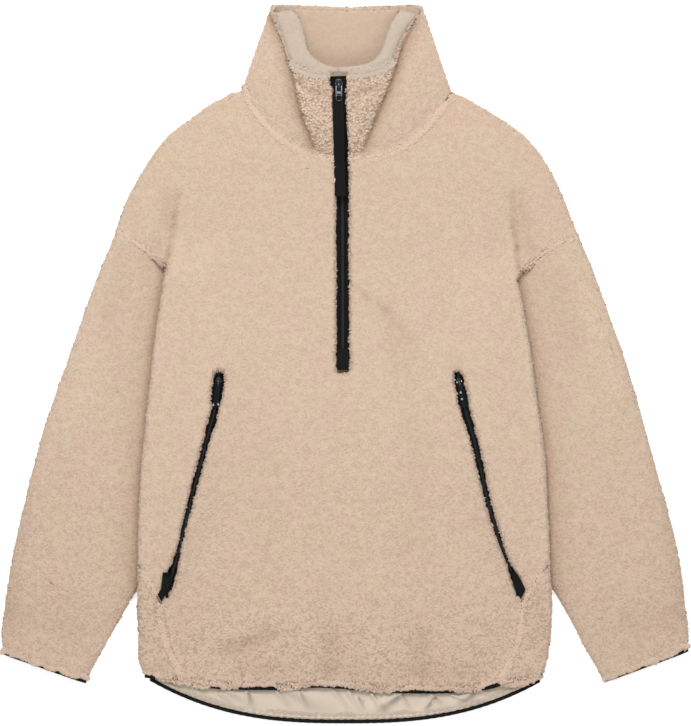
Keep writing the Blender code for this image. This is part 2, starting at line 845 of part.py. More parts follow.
def side_panel_section(side, place_along, wall_in):
    """From the front seam out to the side, round, and back along the floor to the back seam."""
    rows = SIDE_PANELS[side]
    outer, outer_up, front, front_up, back_up = (row_values(rows, name, place_along) for name in rows)
    run = 8.0
    near = wall_in + (run - wall_in) * np.array([1 - math.cos(math.radians(a)) for a in (90, 50, 0)])
    width = outer - front
    out_to_in = np.concatenate([[width], [(width + run) / 2], near])
    places = np.concatenate([out_to_in, out_to_in[-2::-1]])
    upper = np.concatenate([np.ones(4), [0.0], -np.ones(4)])
    seam_up = np.where(upper < 0, back_up, front_up)
    reach = outer - places
    up = outer_up + (seam_up - outer_up) * places / width
    x = SIGNS[side] * reach
    low = lift(x, up)
    high = front_heights(x, up)[1]
    edge = np.clip((places - wall_in) / (run - wall_in), 0, 1)
    share = np.sqrt(1 - (1 - edge) ** 2)
    half = (high - low) / 2 - wall_in
    return np.column_stack([x, up, (low + high) / 2 + upper * half * share])


def make_side_panel(side):
    places = np.linspace(0.0, len(SIDE_PANELS[side]["outer"]) - 1, SIDE_PANEL_SECTIONS)
    outer = [side_panel_section(side, p, 0.0) for p in places]
    inner = [side_panel_section(side, p, WALL) for p in places]
    return wall(f"side_panel_{side}", outer, inner, False, finish("fleece", FLEECE, 0.95))


# ---- collar ----


def signed_fold(x, up, side):
    """How far a place lies inside the collar's front, from the fold at one side."""
    line = spline(COLLAR_FOLDS[side], 6.0)
    edge = np.interp(up, line[::-1, 1], line[::-1, 0])
    return (x - edge) * (1 if side == "left" else -1)


def collar_middle(place_along, level):
    """The middle of the collar's wall: place_along counts the table's rows, level runs from 0 to 1."""
    across, top, top_up, top_high, front = (
        row_values(COLLAR, name, place_along) for name in ("across", "top", "top_up", "top_high", "front")
    )
    front = np.clip(front, 0, 1)
    base_up = neck_front(across) * smooth(front) + neck_back(across) * (1 - smooth(front)) + 1.5 * SEAM
    over = front_heights(across, neck_front(across) - SEAM)[1]
    base_high = WALL / 2 + (over - WALL) * front
    x = across + (top - across) * level
    up = base_up + (top_up - base_up) * level
    high = base_high + (top_high - base_high) * level
    swell = 2.0 * np.sin(math.pi * level) * smooth(front)
    bib = np.minimum(signed_fold(x, up, "left"), signed_fold(x, up, "right"))
    raised = BIB_RAISE * smooth((bib + 3) / 9) - 3.0 * np.exp(-(((bib + 7) / 6) ** 2))
    cross = -1.6 * np.exp(-(((up - 757) / 6) ** 2)) * smooth(bib / 8)
    shaped = (raised + cross) * smooth(front) * smooth(level / 0.35)
    return np.stack([x, up, high + swell + shaped], axis=-1)


def collar_sides(place_along, level):
    """The outer and the inner face of the collar's wall."""
    step = 0.02
    last = len(COLLAR["across"]) - 1.0
    before = collar_middle(np.clip(place_along - step, 0, last), level)
    after = collar_middle(np.clip(place_along + step, 0, last), level)
    below = collar_middle(place_along, np.clip(level - step, 0, 1))
    above = collar_middle(place_along, np.clip(level + step, 0, 1))
    out = np.cross(after - before, above - below)
    out = out / np.linalg.norm(out, axis=-1, keepdims=True)
    middle = collar_middle(place_along, level)
    sides = [middle + out * WALL / 2, middle - out * WALL / 2]
    for face in sides:
        face[..., 2] = np.maximum(face[..., 2], 0.0)
    return sides


def make_collar():
    rows = len(COLLAR["across"]) - 1
    places = np.linspace(0.0, rows, rows * COLLAR_STEPS_PER_ROW + 1)
    outer, inner = [], []
    for level in np.linspace(0.0, 1.0, COLLAR_LEVELS):
        a, b = collar_sides(places, np.full(len(places), level))
        outer.append(a)
        inner.append(b)
    return wall("collar", outer, inner, False, finish("fleece", FLEECE, 0.95))


def make_rim(side):
    """The rolled upper edge, from over the zip to the top corner of the collar."""
    last = len(COLLAR["across"]) - 1
    places = np.linspace(0.0, RIM_ROWS, 13)
    if side == "right":
        places = last - places
    sections = []
    for number, p in enumerate(places):
        sections.append(rim_section(p, side))
        if number == 0:
            middle = sections[0] + (0.0, 0.6, 0.4)
            middle[:, 0] = zip_centre(782.0) + SIGNS[side] * SEAM / 2
            sections.insert(0, middle)
    return loft(f"collar_rim_{side}", sections, finish("fleece_rim", FLEECE_RIM, 0.95))


def rim_section(place_along, side):
    edge = collar_middle(place_along, 1.0)
    inner = np.array([row_values(COLLAR, "rim", place_along), row_values(COLLAR, "rim_up", place_along)])
    across = inner - edge[:2]
    width = float(np.linalg.norm(across))
    across = across / width
    start = edge[:2] + across * RIM_CLEAR
    middle = (start + inner) / 2
    half = float(np.linalg.norm(inner - start)) / 2
    thick = 5.6
    angles = np.linspace(0, 2 * math.pi, RIM_SIDES, endpoint=False)
    flat = middle + np.outer(np.cos(angles) * half, across)
    return np.column_stack([flat, edge[2] + 0.8 + thick * np.sin(angles)])


def make_facing():
    """The inside of the collar's back, seen in its mouth."""
    upper = [(-64, 858.5), (-35, 857.5), (3, 856), (40, 857.5), (66, 858.5)]
    right = [(66, 858.5), (62, 840), (56, 815), (48, 795), (40, 778)]
    lower = [(40, 778), (3, 772), (-38, 778)]
    left = [(-38, 778), (-50, 797), (-56, 815), (-60, 838), (-64, 858.5)]
    parts = [spline(line, 14.0) for line in (lower[::-1], right[::-1], upper[::-1], left[::-1])]
    outline = join(parts)
    if np.linalg.norm(outline[0] - outline[-1]) < 2.5:
        outline = outline[:-1]

    def heights(x, up):
        rise = 2.2 * smooth((np.abs(x - 1) - 25) / 40) + 1.0 * smooth((up - 835) / 30)
        low = WALL + GAP + 0.3 + rise
        return low, low + FACING_WALL

    return slab("collar_facing", [outline], heights, 15.0, finish("fleece_inside", FLEECE_INSIDE, 0.95), 1.8)


# ---- hems ----


def make_back_lining():
    across = np.linspace(-228.0, 228.0, 60)
    lower = np.column_stack([across, back_hem(across) + BINDING_WIDTH + GAP + 0.6])
    lower = lower[lower[:, 1] < HEM_CORNER_UP + 1]
    upper = np.array([(x, 82.0) for x in np.linspace(196, -196, 20)])
    right = np.array([lower[-1], (222, 64)])
    left = np.array([(-222, 64), lower[0]])
    outline = join([spaced(lower, 18.0), right[1:], spaced(upper, 26.0), left])
    outline = outline[:-1] if np.linalg.norm(outline[0] - outline[-1]) < 2.5 else outline

    def heights(x, up):
        low = back_top(x, up) + GAP
        return low, low + LINING_WALL

    return slab("back_lining", [outline], heights, 30.0, finish("lining", LINING, 0.5), 0.4)


def binding(name, middle_line, low, high):
    """A narrow folded strip along an edge, lying between two heights."""
    line = np.asarray(middle_line, float)
    run = np.gradient(line, axis=0)
    run = run / np.linalg.norm(run, axis=1, keepdims=True)
    left = np.column_stack([-run[:, 1], run[:, 0]])
    half = BINDING_WIDTH / 2
    profile = ((-1, 0.25), (-1, 0.75), (-0.6, 1), (0.6, 1), (1, 0.75), (1, 0.25), (0.6, 0), (-0.6, 0))
    sections = []
    for point, side, bottom, top in zip(line, left, low, high):
        ring = [(*(point + side * half * a), bottom + (top - bottom) * b) for a, b in profile]
        sections.append(ring)
    return loft(name, sections, finish("binding", BLACK, 0.8))


def make_back_binding():
    across = np.linspace(-HEM_CORNER_REACH + 6, HEM_CORNER_REACH - 6, 80)
    line = spaced(np.column_stack([across, back_hem(across) + BINDING_WIDTH / 2]), 16.0)
    low = np.zeros(len(line))
    return binding("hem_binding_back", line, low, low + WALL + 0.6)


def make_front_binding():
    rows = np.column_stack([FRONT_HEM["across"], FRONT_HEM["up"] - BINDING_WIDTH / 2 - 2 * GAP])
    line = spline(rows, 16.0)
    under, _ = front_heights(line[:, 0], line[:, 1] + BINDING_WIDTH)
    low = under + 0.4
    return binding("hem_binding_front", line, low, low + FRONT_BINDING_HEIGHT)


# ---- zips ----


def tape_section(centre, side, high, slope=0.0):
    """A zip's section: a flat tape with a raised chain along its middle, tilted by a slope."""
    chain = CHAIN_HALF_WIDTH
    profile = (
        (-TAPE_HALF_WIDTH, -TAPE_WALL),
        (TAPE_HALF_WIDTH, -TAPE_WALL),
        (TAPE_HALF_WIDTH, 0.0),
        (chain, 0.0),
        (chain * 0.7, CHAIN_HEIGHT),
        (-chain * 0.7, CHAIN_HEIGHT),
        (-chain, 0.0),
        (-TAPE_HALF_WIDTH, 0.0),
    )
    return [(*(centre + side * a), high + b + slope * a) for a, b in profile]


def collar_zip_edge(up):
    """The middle of the collar's wall beside the zip, at a place up the garment."""
    level = (up - neck_front(-4.0)) / (COLLAR["top_up"][0] - neck_front(-4.0))
    last = len(COLLAR["across"]) - 1.0
    return min(float(collar_middle(p, level)[2]) for p in (0.0, 0.6, last - 0.6, last))


def front_zip_high(up):
    """The upper face of the zip's tape, just under the cloth on both sides."""
    centre = zip_centre(up)
    if up > NECK_FRONT_UP:
        return collar_zip_edge(up) - WALL / 2 - 0.9
    reach = np.array([-13.0, -8.0, 0.0, 8.0, 13.0])
    ups = np.array([min(up + shift, neck_front(-4.0) - 1) for shift in (-6, 0, 6)])
    under = [front_heights(centre + reach, np.full(5, u))[0].min() for u in ups]
    return float(min(under)) - 0.5


def make_front_zip():
    ups = np.concatenate([np.linspace(426, 676.5, 15), np.linspace(687, 776.5, 8)])
    sections = []
    for up in ups:
        centre = np.array([zip_centre(up), up])
        sections.append(tape_section(centre, np.array([1.0, 0.0]), front_zip_high(up)))
    return loft("front_zip", sections, finish("zip", BLACK, 0.6))


def pocket_line(side):
    rows = POCKETS[side]
    line = np.column_stack([rows["across"], rows["up"]])
    return spline(line, 16.0)


def pocket_bed(point, across):
    """The height and the slope of a pocket zip's tape, just under the cloth at a place on it."""
    reach = np.linspace(-1.0, 1.0, 5) * (TAPE_HALF_WIDTH * POCKET_SCALE + 1)
    along = np.array([across[1], -across[0]])
    under = []
    for shift in (-4.0, 0.0, 4.0):
        spots = point + along * shift + np.outer(reach, across)
        under.append(front_heights(spots[:, 0], spots[:, 1])[0])
    under = np.min(under, axis=0)
    slope = (under[-1] - under[0]) / (reach[-1] - reach[0])
    return float((under - slope * reach).min()) - 0.5, float(slope)


def pocket_chain_top(spots, across, half_width):
    """How high a flat piece of this half width lies on the chain or on the tape's raised edge."""
    chain_half = CHAIN_HALF_WIDTH * POCKET_SCALE
    tops = []
    for spot in spots:
        high, slope = pocket_bed(spot, across)
        tops += [high + CHAIN_HEIGHT + abs(slope) * chain_half * 0.7, high + abs(slope) * half_width]
    return max(tops)


def pocket_side(line, number):
    run = line[min(number + 1, len(line) - 1)] - line[max(number - 1, 0)]
    run = run / np.linalg.norm(run)
    return np.array([-run[1], run[0]])


def make_pocket_zip(side):
    line = pocket_line(side)
    sections = []
    for number, point in enumerate(line):
        across = pocket_side(line, number)
        high, slope = pocket_bed(point, across)
        ring = tape_section(np.zeros(2), across, high, slope * POCKET_SCALE)
        sections.append([(point[0] + x * POCKET_SCALE, point[1] + y * POCKET_SCALE, z) for x, y, z in ring])
    return loft(f"pocket_zip_{side}", sections, finish("zip", BLACK, 0.6))


def patch(name, centre, along, length, half, high, thick, taper=1.0):
    """A small flat patch, its lower end drawn in by taper."""
    along = np.asarray(along, float)
    across = np.array([-along[1], along[0]])
    sections = []
    for share in (0.0, 0.08, 0.55, 0.92, 1.0):
        drawn = 1.0 if share < 0.5 else 1.0 + (taper - 1.0) * (share - 0.5) / 0.5
        place_at = centre + along * length * share
        width = half * drawn * (0.9 if share in (0.0, 1.0) else 1.0)
        profile = ((-1, 0.2), (-1, 0.8), (-0.9, 1), (0.9, 1), (1, 0.8), (1, 0.2), (0.9, 0), (-0.9, 0))
        sections.append([(*(place_at + across * width * a), high + thick * b) for a, b in profile])
    return loft(name, sections, finish("patch", BLACK, 0.7))


def make_front_stop():
    up = 424.8
    centre = np.array([zip_centre(up), up + FRONT_STOP["length"] - 2.0])
    high = max(front_zip_high(u) for u in (424, 437, 452)) + CHAIN_HEIGHT + GAP
    length = FRONT_STOP["length"] - 2.0
    return patch("front_zip_stop", centre, (0, -1), length, FRONT_STOP["half_width"], high, FRONT_STOP["wall"])


def make_pocket_stop(side):
    length, half = POCKET_STOPS[side]
    line = spline(np.column_stack([POCKETS[side]["across"], POCKETS[side]["up"]]), 2.0)
    end = line[-4]
    start = line[-4 - int(length / 2)]
    along = (end - start) / np.linalg.norm(end - start)
    across = np.array([-along[1], along[0]])
    high = pocket_chain_top((start, (start + end) / 2, end), across, half) + GAP
    return patch(f"pocket_stop_{side}", start, along, length, half, high, 1.0, 0.35)


# ---- pullers ----


def flat_piece(name, loops, low, high, frame, material):
    """A flat piece cut to an outline, with holes, set into a puller's own frame."""
    origin, along, across = frame
    count = 0
    edges, flat = [], np.vstack(loops)
    for loop in loops:
        edges += [(count + i, count + (i + 1) % len(loop)) for i in range(len(loop))]
        count += len(loop)
    found, _, triangles, origins, _, _ = delaunay_2d_cdt([tuple(p) for p in flat], edges, [], 0, 1e-6)
    where = {old: new for new, olds in enumerate(origins) for old in olds}
    out = np.array([tuple(p) for p in found])
    centres = out[np.array([list(t) for t in triangles])].mean(1)
    kept = [tuple(t) for t, keep in zip(triangles, inside(centres, loops)) if keep]
    size = len(out)
    faces = kept + [tuple(size + i for i in reversed(t)) for t in kept]
    for a, b in edges:
        faces.append((size + where[a], size + where[b], where[b], where[a]))
    points = []
    for high_here in (high, low):
        for x, y in out:
            plan = origin[:2] + across * x + along * y
            points.append((plan[0], plan[1], origin[2] + high_here))
    return place(name, points, faces, material, origin)


def rounded(half_width, start, end, corner):
    """A rectangle with cut corners, anticlockwise."""
    w, c = half_width, corner
    return np.array(
        [
            (-w + c, start),
            (w - c, start),
            (w, start + c),
            (w, end - c),
            (w - c, end),
            (-w + c, end),
            (-w, end - c),
            (-w, start + c),
        ]
    )


def ring_loop(centre, radius, sides, clockwise=True):
    angles = np.linspace(0, 2 * math.pi, sides, endpoint=False)
    loop = np.column_stack([radius * np.cos(angles), centre + radius * np.sin(angles)])
    return loop[::-1] if clockwise else loop


BRIDGE = {"half_width": 1.25, "foot": 3.2, "open": 1.6, "high": 2.7, "top": 3.8}
PULL_AXIS_HIGH = 1.35
PULL_WALL = 1.2
BAR_HALF = 0.6


def make_slider(name, sizes, axis_point, along, chain_top):
    """The slider's plate with the bridge that holds the pull, joined by a union."""
    along = np.asarray(along, float)
    across = np.array([-along[1], along[0]])
    plate_high = axis_point[2] - PULL_AXIS_HIGH
    frame = ((axis_point[0], axis_point[1], plate_high), along, across)
    frame = (np.array(frame[0]), along, across)
    width, length = sizes["plate_width"] / 2, sizes["plate_length"] / 2
    outline = np.array(
        [
            (-width * 0.62, -length),
            (width * 0.62, -length),
            (width, -length * 0.45),
            (width * 0.9, length * 0.5),
            (width * 0.72, length),
            (-width * 0.72, length),
            (-width * 0.9, length * 0.5),
            (-width, -length * 0.45),
        ]
    )
    metal = finish("slider", GUNMETAL, 0.35, 1.0)
    outline = outline[::-1] if polygon_area(outline) < 0 else outline
    plate = flat_piece(name, [outline], chain_top + GAP - plate_high, 0.0, frame, metal)
    arch = [
        (-BRIDGE["foot"], -0.8),
        (-BRIDGE["foot"], BRIDGE["top"] - 0.8),
        (-BRIDGE["foot"] + 0.8, BRIDGE["top"]),
        (BRIDGE["foot"] - 0.8, BRIDGE["top"]),
        (BRIDGE["foot"], BRIDGE["top"] - 0.8),
        (BRIDGE["foot"], -0.8),
        (BRIDGE["open"], -0.8),
        (BRIDGE["open"], BRIDGE["high"]),
        (-BRIDGE["open"], BRIDGE["high"]),
        (-BRIDGE["open"], -0.8),
    ]
    ends = []
    for x in (-BRIDGE["half_width"], BRIDGE["half_width"]):
        ring = []
        for y, z in arch:
            plan = frame[0][:2] + across * x + along * y
            ring.append((plan[0], plan[1], plate_high + z))
        ends.append(ring)
    bridge = loft(name + "_bridge", ends, metal)
    bridge.hide_render = True
    bridge.display_type = "WIRE"
    join_up = plate.modifiers.new("bridge", "BOOLEAN")
    join_up.operation = "UNION"
    join_up.object = bridge
    join_up.solver = "EXACT"
    return plate


def polygon_area(loop):
    after = np.roll(loop, -1, axis=0)
    return float((loop[:, 0] * after[:, 1] - loop[:, 1] * after[:, 0]).sum() / 2)


def make_pull(name, sizes, axis_point, along, ring_radius, material):
    """A flat pull: its bar turns under the bridge, and its far end has an eye."""
    half = sizes["pull_width"] / 2
    length = sizes["pull_length"]
    across = np.array([-along[1], along[0]])
    frame = (np.array(axis_point, float), np.asarray(along, float), across)
    outer = rounded(half, -BAR_HALF, length, 1.2)
    window = rounded(BRIDGE["half_width"] + 0.45, BAR_HALF, 5.4, 0.3)[::-1]
    eye = ring_loop(length - ring_radius - 1.5, ring_radius, 10)
    if polygon_area(outer) < 0:
        outer = outer[::-1]
    if polygon_area(window) > 0:
        window = window[::-1]
    return flat_piece(name, [outer, window, eye], -PULL_WALL / 2, PULL_WALL / 2, frame, material)


def make_front_puller():
    """The slider at the top of the zip, high enough that its pull's end lies on the strap."""
    up = FRONT_HINGE_UP
    chain_top = max(front_zip_high(up + shift) for shift in (-7.5, 0, 7.5)) + CHAIN_HEIGHT
    on_strap = strap_bed(up - 13) + 2 * GAP + STRAP["wall"] + PULL_WALL / 2
    high = max(chain_top + GAP + 1.8 + PULL_AXIS_HIGH, on_strap)
    axis = np.array([zip_centre(up), up, high])
    along = np.array([0.0, -1.0])
    make_slider("front_slider", FRONT_PULLER, axis, along, chain_top)
    make_pull("front_pull_tab", FRONT_PULLER, axis, along, 2.4, finish("pull", GUNMETAL, 0.4, 1.0))
    make_strap(axis)


def make_strap(axis):
    """The long flat strap under the end of the tab, lying down the zip on the cloth."""
    start = FRONT_HINGE_UP - 9.0
    ups = np.linspace(start, start - STRAP["length"], 15)
    head = axis[2] - PULL_WALL / 2 - GAP - STRAP["wall"]
    sections = []
    for up in ups:
        cloth = strap_bed(up) + GAP
        bottom = cloth + (head - cloth) * smooth((up - start + 26) / 12)
        centre = np.interp(up, (629, 745), (-5.4, -8.4))
        profile = ((-1, 0.2), (-1, 0.8), (-0.95, 1), (0.95, 1), (1, 0.8), (1, 0.2), (0.95, 0), (-0.95, 0))
        ring = [(centre + STRAP["half_width"] * a, up, bottom + STRAP["wall"] * b) for a, b in profile]
        sections.append(ring)
    return loft("front_strap", sections, finish("strap", BLACK, 0.65), axis)


def strap_bed(up):
    """The highest cloth or zip under the strap."""
    shares = []
    for near in (up - 4, up, up + 4):
        if near > NECK_FRONT_UP:
            level = (near - neck_front(-4.0)) / (COLLAR["top_up"][0] - neck_front(-4.0))
            last = len(COLLAR["across"]) - 1.0
            shares += [float(collar_middle(p, level)[2]) + WALL / 2 for p in (0.0, 0.2, last - 0.2, last)]
        else:
            centre = zip_centre(near)
            x = centre + np.array([-FRONT_SLOT_HALF - EDGE_ROUND, FRONT_SLOT_HALF + EDGE_ROUND])
            shares += front_heights(x, np.full(2, min(near, NECK_FRONT_UP - 1)))[1].tolist()
    return max(shares)


def make_pocket_puller(side):
    line = spline(np.column_stack([POCKETS[side]["across"], POCKETS[side]["up"]]), 1.0)
    seat = line[int(POCKET_HINGE_ALONG)]
    ahead = line[int(POCKET_HINGE_ALONG) + 22]
    along = (ahead - seat) / np.linalg.norm(ahead - seat)
    spots = [line[i] for i in (6, 14, 22)]
    chain_top = pocket_chain_top(spots, np.array([-along[1], along[0]]), POCKET_PULLER["plate_width"] / 2)
    axis = np.array([seat[0], seat[1], chain_top + GAP + 1.8 + PULL_AXIS_HIGH])
    make_slider(f"pocket_slider_{side}", POCKET_PULLER, axis, along, chain_top)
    make_pull(f"pocket_pull_{side}", POCKET_PULLER, axis, along, 1.7, finish("pocket_pull", BLACK, 0.5))


def main():
    for old in list(bpy.data.objects):
        if old is not GARMENT:
            bpy.data.objects.remove(old, do_unlink=True)
    bpy.context.scene.collection.objects.link(GARMENT)
    GARMENT.location = (0.0, -LENGTH / 2 * MM, 0.0)
    make_back_panel()
    make_front_panel()
    make_collar()
    make_facing()
    make_back_lining()
    make_back_binding()
    make_front_binding()
    make_front_zip()
    make_front_stop()
    make_front_puller()
    for side in SIGNS:
        make_sleeve(side)
        make_cuff_binding(side)
        make_side_panel(side)
        make_rim(side)
        make_pocket_zip(side)
        make_pocket_stop(side)
        make_pocket_puller(side)


main()
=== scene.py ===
import json

import bmesh
import bpy
import numpy as np
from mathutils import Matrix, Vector
from mathutils.bvhtree import BVHTree


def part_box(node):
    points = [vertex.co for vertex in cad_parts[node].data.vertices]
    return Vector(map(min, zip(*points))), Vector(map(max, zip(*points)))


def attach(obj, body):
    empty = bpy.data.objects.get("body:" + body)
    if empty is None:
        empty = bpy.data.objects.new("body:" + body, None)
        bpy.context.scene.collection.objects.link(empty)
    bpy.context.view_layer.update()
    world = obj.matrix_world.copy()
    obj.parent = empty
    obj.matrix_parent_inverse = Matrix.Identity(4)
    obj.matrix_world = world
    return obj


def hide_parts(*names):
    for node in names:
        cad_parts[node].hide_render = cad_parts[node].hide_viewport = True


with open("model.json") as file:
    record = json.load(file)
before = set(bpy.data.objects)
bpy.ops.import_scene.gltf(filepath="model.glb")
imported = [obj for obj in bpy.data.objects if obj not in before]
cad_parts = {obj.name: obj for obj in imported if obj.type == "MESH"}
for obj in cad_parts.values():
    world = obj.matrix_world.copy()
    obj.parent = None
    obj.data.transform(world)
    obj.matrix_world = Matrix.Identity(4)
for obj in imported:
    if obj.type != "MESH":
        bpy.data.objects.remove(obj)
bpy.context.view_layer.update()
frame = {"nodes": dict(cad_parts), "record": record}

mm = 0.001
dice = np.random.default_rng(41)


# the frame's own surfaces are read and reshaped here, all in millimetres
def nodeSurface(name):
    mesh = frame["nodes"][name].data
    mesh.calc_loop_triangles()
    points = np.empty(len(mesh.vertices) * 3)
    mesh.vertices.foreach_get("co", points)
    points = points.reshape(-1, 3) / mm
    faces = np.empty(len(mesh.loop_triangles) * 3, int)
    mesh.loop_triangles.foreach_get("vertices", faces)
    _, first, index = np.unique(np.round(points, 2), axis=0, return_index=True, return_inverse=True)
    faces = index.reshape(-1)[faces.reshape(-1, 3)]
    whole = (faces[:, 0] != faces[:, 1]) & (faces[:, 1] != faces[:, 2]) & (faces[:, 0] != faces[:, 2])
    return points[first], faces[whole]


def faceFrames(points, faces):
    corners = points[faces]
    normals = np.cross(corners[:, 1] - corners[:, 0], corners[:, 2] - corners[:, 0])
    sizes = np.linalg.norm(normals, axis=1, keepdims=True)
    return corners.mean(1), normals / np.maximum(sizes, 1e-9), sizes[:, 0] / 2


def pointNormals(points, faces):
    normals = np.zeros_like(points)
    corners = points[faces]
    across = np.cross(corners[:, 1] - corners[:, 0], corners[:, 2] - corners[:, 0])
    for corner in range(3):
        for axis in range(3):
            normals[:, axis] += np.bincount(faces[:, corner], across[:, axis], len(points))
    return normals / np.maximum(np.linalg.norm(normals, axis=1, keepdims=True), 1e-9)


def edgesOf(faces):
    pairs = np.sort(np.concatenate([faces[:, [0, 1]], faces[:, [1, 2]], faces[:, [2, 0]]]), axis=1)
    codes = pairs[:, 0] * (faces.max() + 1) + pairs[:, 1]
    _, first, index = np.unique(codes, return_index=True, return_inverse=True)
    return pairs[first], index.reshape(3, -1).T


# the flat stretches come as long slivers: they are joined again and cut into squares
def evenTriangles(points, faces, size):
    work = bmesh.new()
    corners = [work.verts.new(point) for point in points]
    for face in faces:
        work.faces.new([corners[corner] for corner in face])
    bmesh.ops.dissolve_limit(work, angle_limit=0.004, verts=work.verts[:], edges=work.edges[:])
    for axis in (0, 1):
        across = Vector((1, 0, 0)) if axis == 0 else Vector((0, 1, 0))
        for place in np.arange(points[:, axis].min() + size / 2, points[:, axis].max(), size):
            parts = {face for face in work.faces if face.calc_area() > size ** 2 * 0.75}
            parts |= {part for face in parts for part in (*face.edges, *face.verts)}
            cut = {"plane_co": across * place, "plane_no": across, "dist": 0.01}
            bmesh.ops.bisect_plane(work, geom=list(parts), **cut)
    bmesh.ops.triangulate(work, faces=work.faces[:], quad_method="SHORT_EDGE", ngon_method="BEAUTY")
    work.verts.ensure_lookup_table()
    work.verts.index_update()
    points = np.array([corner.co[:] for corner in work.verts])
    faces = np.array([[corner.index for corner in face.verts] for face in work.faces])
    work.free()
    return points, faces


# every edge longer than its faces ask for is halved, until none is
def splitLong(points, faces, wanted):
    while True:
        edges, sides = edgesOf(faces)
        limits = np.full(len(edges), 1e9)
        for side in range(3):
            np.minimum.at(limits, sides[:, side], wanted)
        lengths = np.linalg.norm(points[edges[:, 0]] - points[edges[:, 1]], axis=1)
        halved = lengths > limits
        if not halved.any():
            return points, faces, wanted
        middles = np.full(len(edges), -1)
        middles[halved] = len(points) + np.arange(halved.sum())
        points = np.concatenate([points, points[edges[halved]].mean(1)])
        cuts = middles[sides]
        count = (cuts >= 0).sum(1)
        made, kept = [faces[count == 0]], [wanted[count == 0]]
        for corner in range(3):
            a, b, c = (faces[:, (corner + step) % 3] for step in range(3))
            ab, bc, ca = (cuts[:, (corner + step) % 3] for step in range(3))
            one = (count == 1) & (ab >= 0)
            made += [np.stack([a, ab, c], 1)[one], np.stack([ab, b, c], 1)[one]]
            two = (count == 2) & (ca < 0)
            toC = np.linalg.norm(points[ab] - points[c], axis=1)
            toA = np.linalg.norm(points[bc] - points[a], axis=1)
            straight = toC < toA
            made += [np.stack([ab, b, bc], 1)[two]]
            made += [np.stack([a, ab, c], 1)[two & straight], np.stack([ab, bc, c], 1)[two & straight]]
            made += [np.stack([a, ab, bc], 1)[two & ~straight], np.stack([a, bc, c], 1)[two & ~straight]]
            kept += [wanted[one]] * 2 + [wanted[two]]
            kept += [wanted[two & straight]] * 2 + [wanted[two & ~straight]] * 2
        a, b, c = faces[count == 3].T
        ab, bc, ca = cuts[count == 3].T
        made += [np.stack(three, 1) for three in ((a, ab, ca), (ab, b, bc), (ca, bc, c), (ab, bc, ca))]
        kept += [wanted[count == 3]] * 4
        faces, wanted = np.concatenate(made), np.concatenate(kept)


def neighbourMeans(values, edges, count):
    ends = np.concatenate([edges[:, 0], edges[:, 1]])
    others = np.concatenate([edges[:, 1], edges[:, 0]])
    degree = np.maximum(np.bincount(ends, minlength=count), 1)
    if values.ndim == 1:
        return np.bincount(ends, values[others], count) / degree
    sums = [np.bincount(ends, values[others, axis], count) for axis in range(values.shape[1])]
    return np.stack(sums, 1) / degree[:, None]


# takes the facets out of a surface; no point moves further than most
def soften(points, faces, rounds, most):
    edges = edgesOf(faces)[0]
    moved = points.copy()
    for _ in range(rounds):
        moved += 0.5 * (neighbourMeans(moved, edges, len(points)) - moved)
    step = moved - points
    size = np.linalg.norm(step, axis=1, keepdims=True)
    return points + step * np.minimum(1, most / np.maximum(size, 1e-9))


# soft random fields, the same at each run
def latticeValues(cells, seed):
    mixed = seed * 2654435761
    for axis, factor in enumerate((73856093, 19349663, 83492791)):
        mixed = mixed ^ (cells[..., axis] * factor)
    mixed = (mixed ^ (mixed >> 13)) * 1274126177
    return ((mixed ^ (mixed >> 16)) & 0xFFFFFF) / 0xFFFFFF


# smooth noise from 0 to 1 with lumps of the given size
def lumps(points, size, seed=1):
    place = points / size
    cell = np.floor(place).astype(np.int64)
    part = place - cell
    part = part * part * (3 - 2 * part)
    total = np.zeros(len(points))
    for corner in np.ndindex(2, 2, 2):
        share = np.prod(np.where(np.array(corner) == 1, part, 1 - part), axis=1)
        total += share * latticeValues(cell + np.array(corner), seed)
    return total


# domes of the given size with creases between them, 1 at a dome's top and 0 in a crease
def domes(points, size, seed=1):
    place = points / size
    cell = np.floor(place).astype(np.int64)
    nearest = np.full(len(points), 9.0)
    for step in np.ndindex(3, 3, 3):
        other = cell + np.array(step) - 1
        centre = other + np.stack([latticeValues(other, seed + axis) for axis in range(3)], 1)
        nearest = np.minimum(nearest, ((place - centre) ** 2).sum(1))
    return np.clip(1 - nearest * 1.25, 0, 1)


def smoothStep(values, low, high):
    part = np.clip((values - low) / (high - low), 0, 1)
    return part * part * (3 - 2 * part)


def makeMesh(name, points, faces, material, attributes=None):
    mesh = bpy.data.meshes.new(name)
    mesh.vertices.add(len(points))
    mesh.vertices.foreach_set("co", (points * mm).astype(np.float32).ravel())
    mesh.loops.add(len(faces) * 3)
    mesh.loops.foreach_set("vertex_index", faces.astype(np.int32).ravel())
    mesh.polygons.add(len(faces))
    mesh.polygons.foreach_set("loop_start", np.arange(len(faces), dtype=np.int32) * 3)
    mesh.update()
    mesh.validate()
    mesh.shade_smooth()
    for title, values in (attributes or {}).items():
        layer = mesh.attributes.new(title, "FLOAT", "POINT")
        layer.data.foreach_set("value", values.astype(np.float32))
    mesh.materials.append(material)
    made = bpy.data.objects.new(name, mesh)
    bpy.context.scene.collection.objects.link(made)
    return made


def linear(hexText):
    parts = [int(hexText[place:place + 2], 16) / 255 for place in (1, 3, 5)]
    return [part / 12.92 if part <= 0.04045 else ((part + 0.055) / 1.055) ** 2.4 for part in parts] + [1.0]


# adds one node; settings are its inputs or options, links are the outputs that feed its inputs
def addNode(tree, kind, settings=None, links=None):
    node = tree.nodes.new("ShaderNode" + kind)
    for key, value in (settings or {}).items():
        if isinstance(key, int) or key in node.inputs:
            node.inputs[key].default_value = value
        else:
            setattr(node, key, value)
    for key, source in (links or {}).items():
        tree.links.new(source, node.inputs[key])
    return node


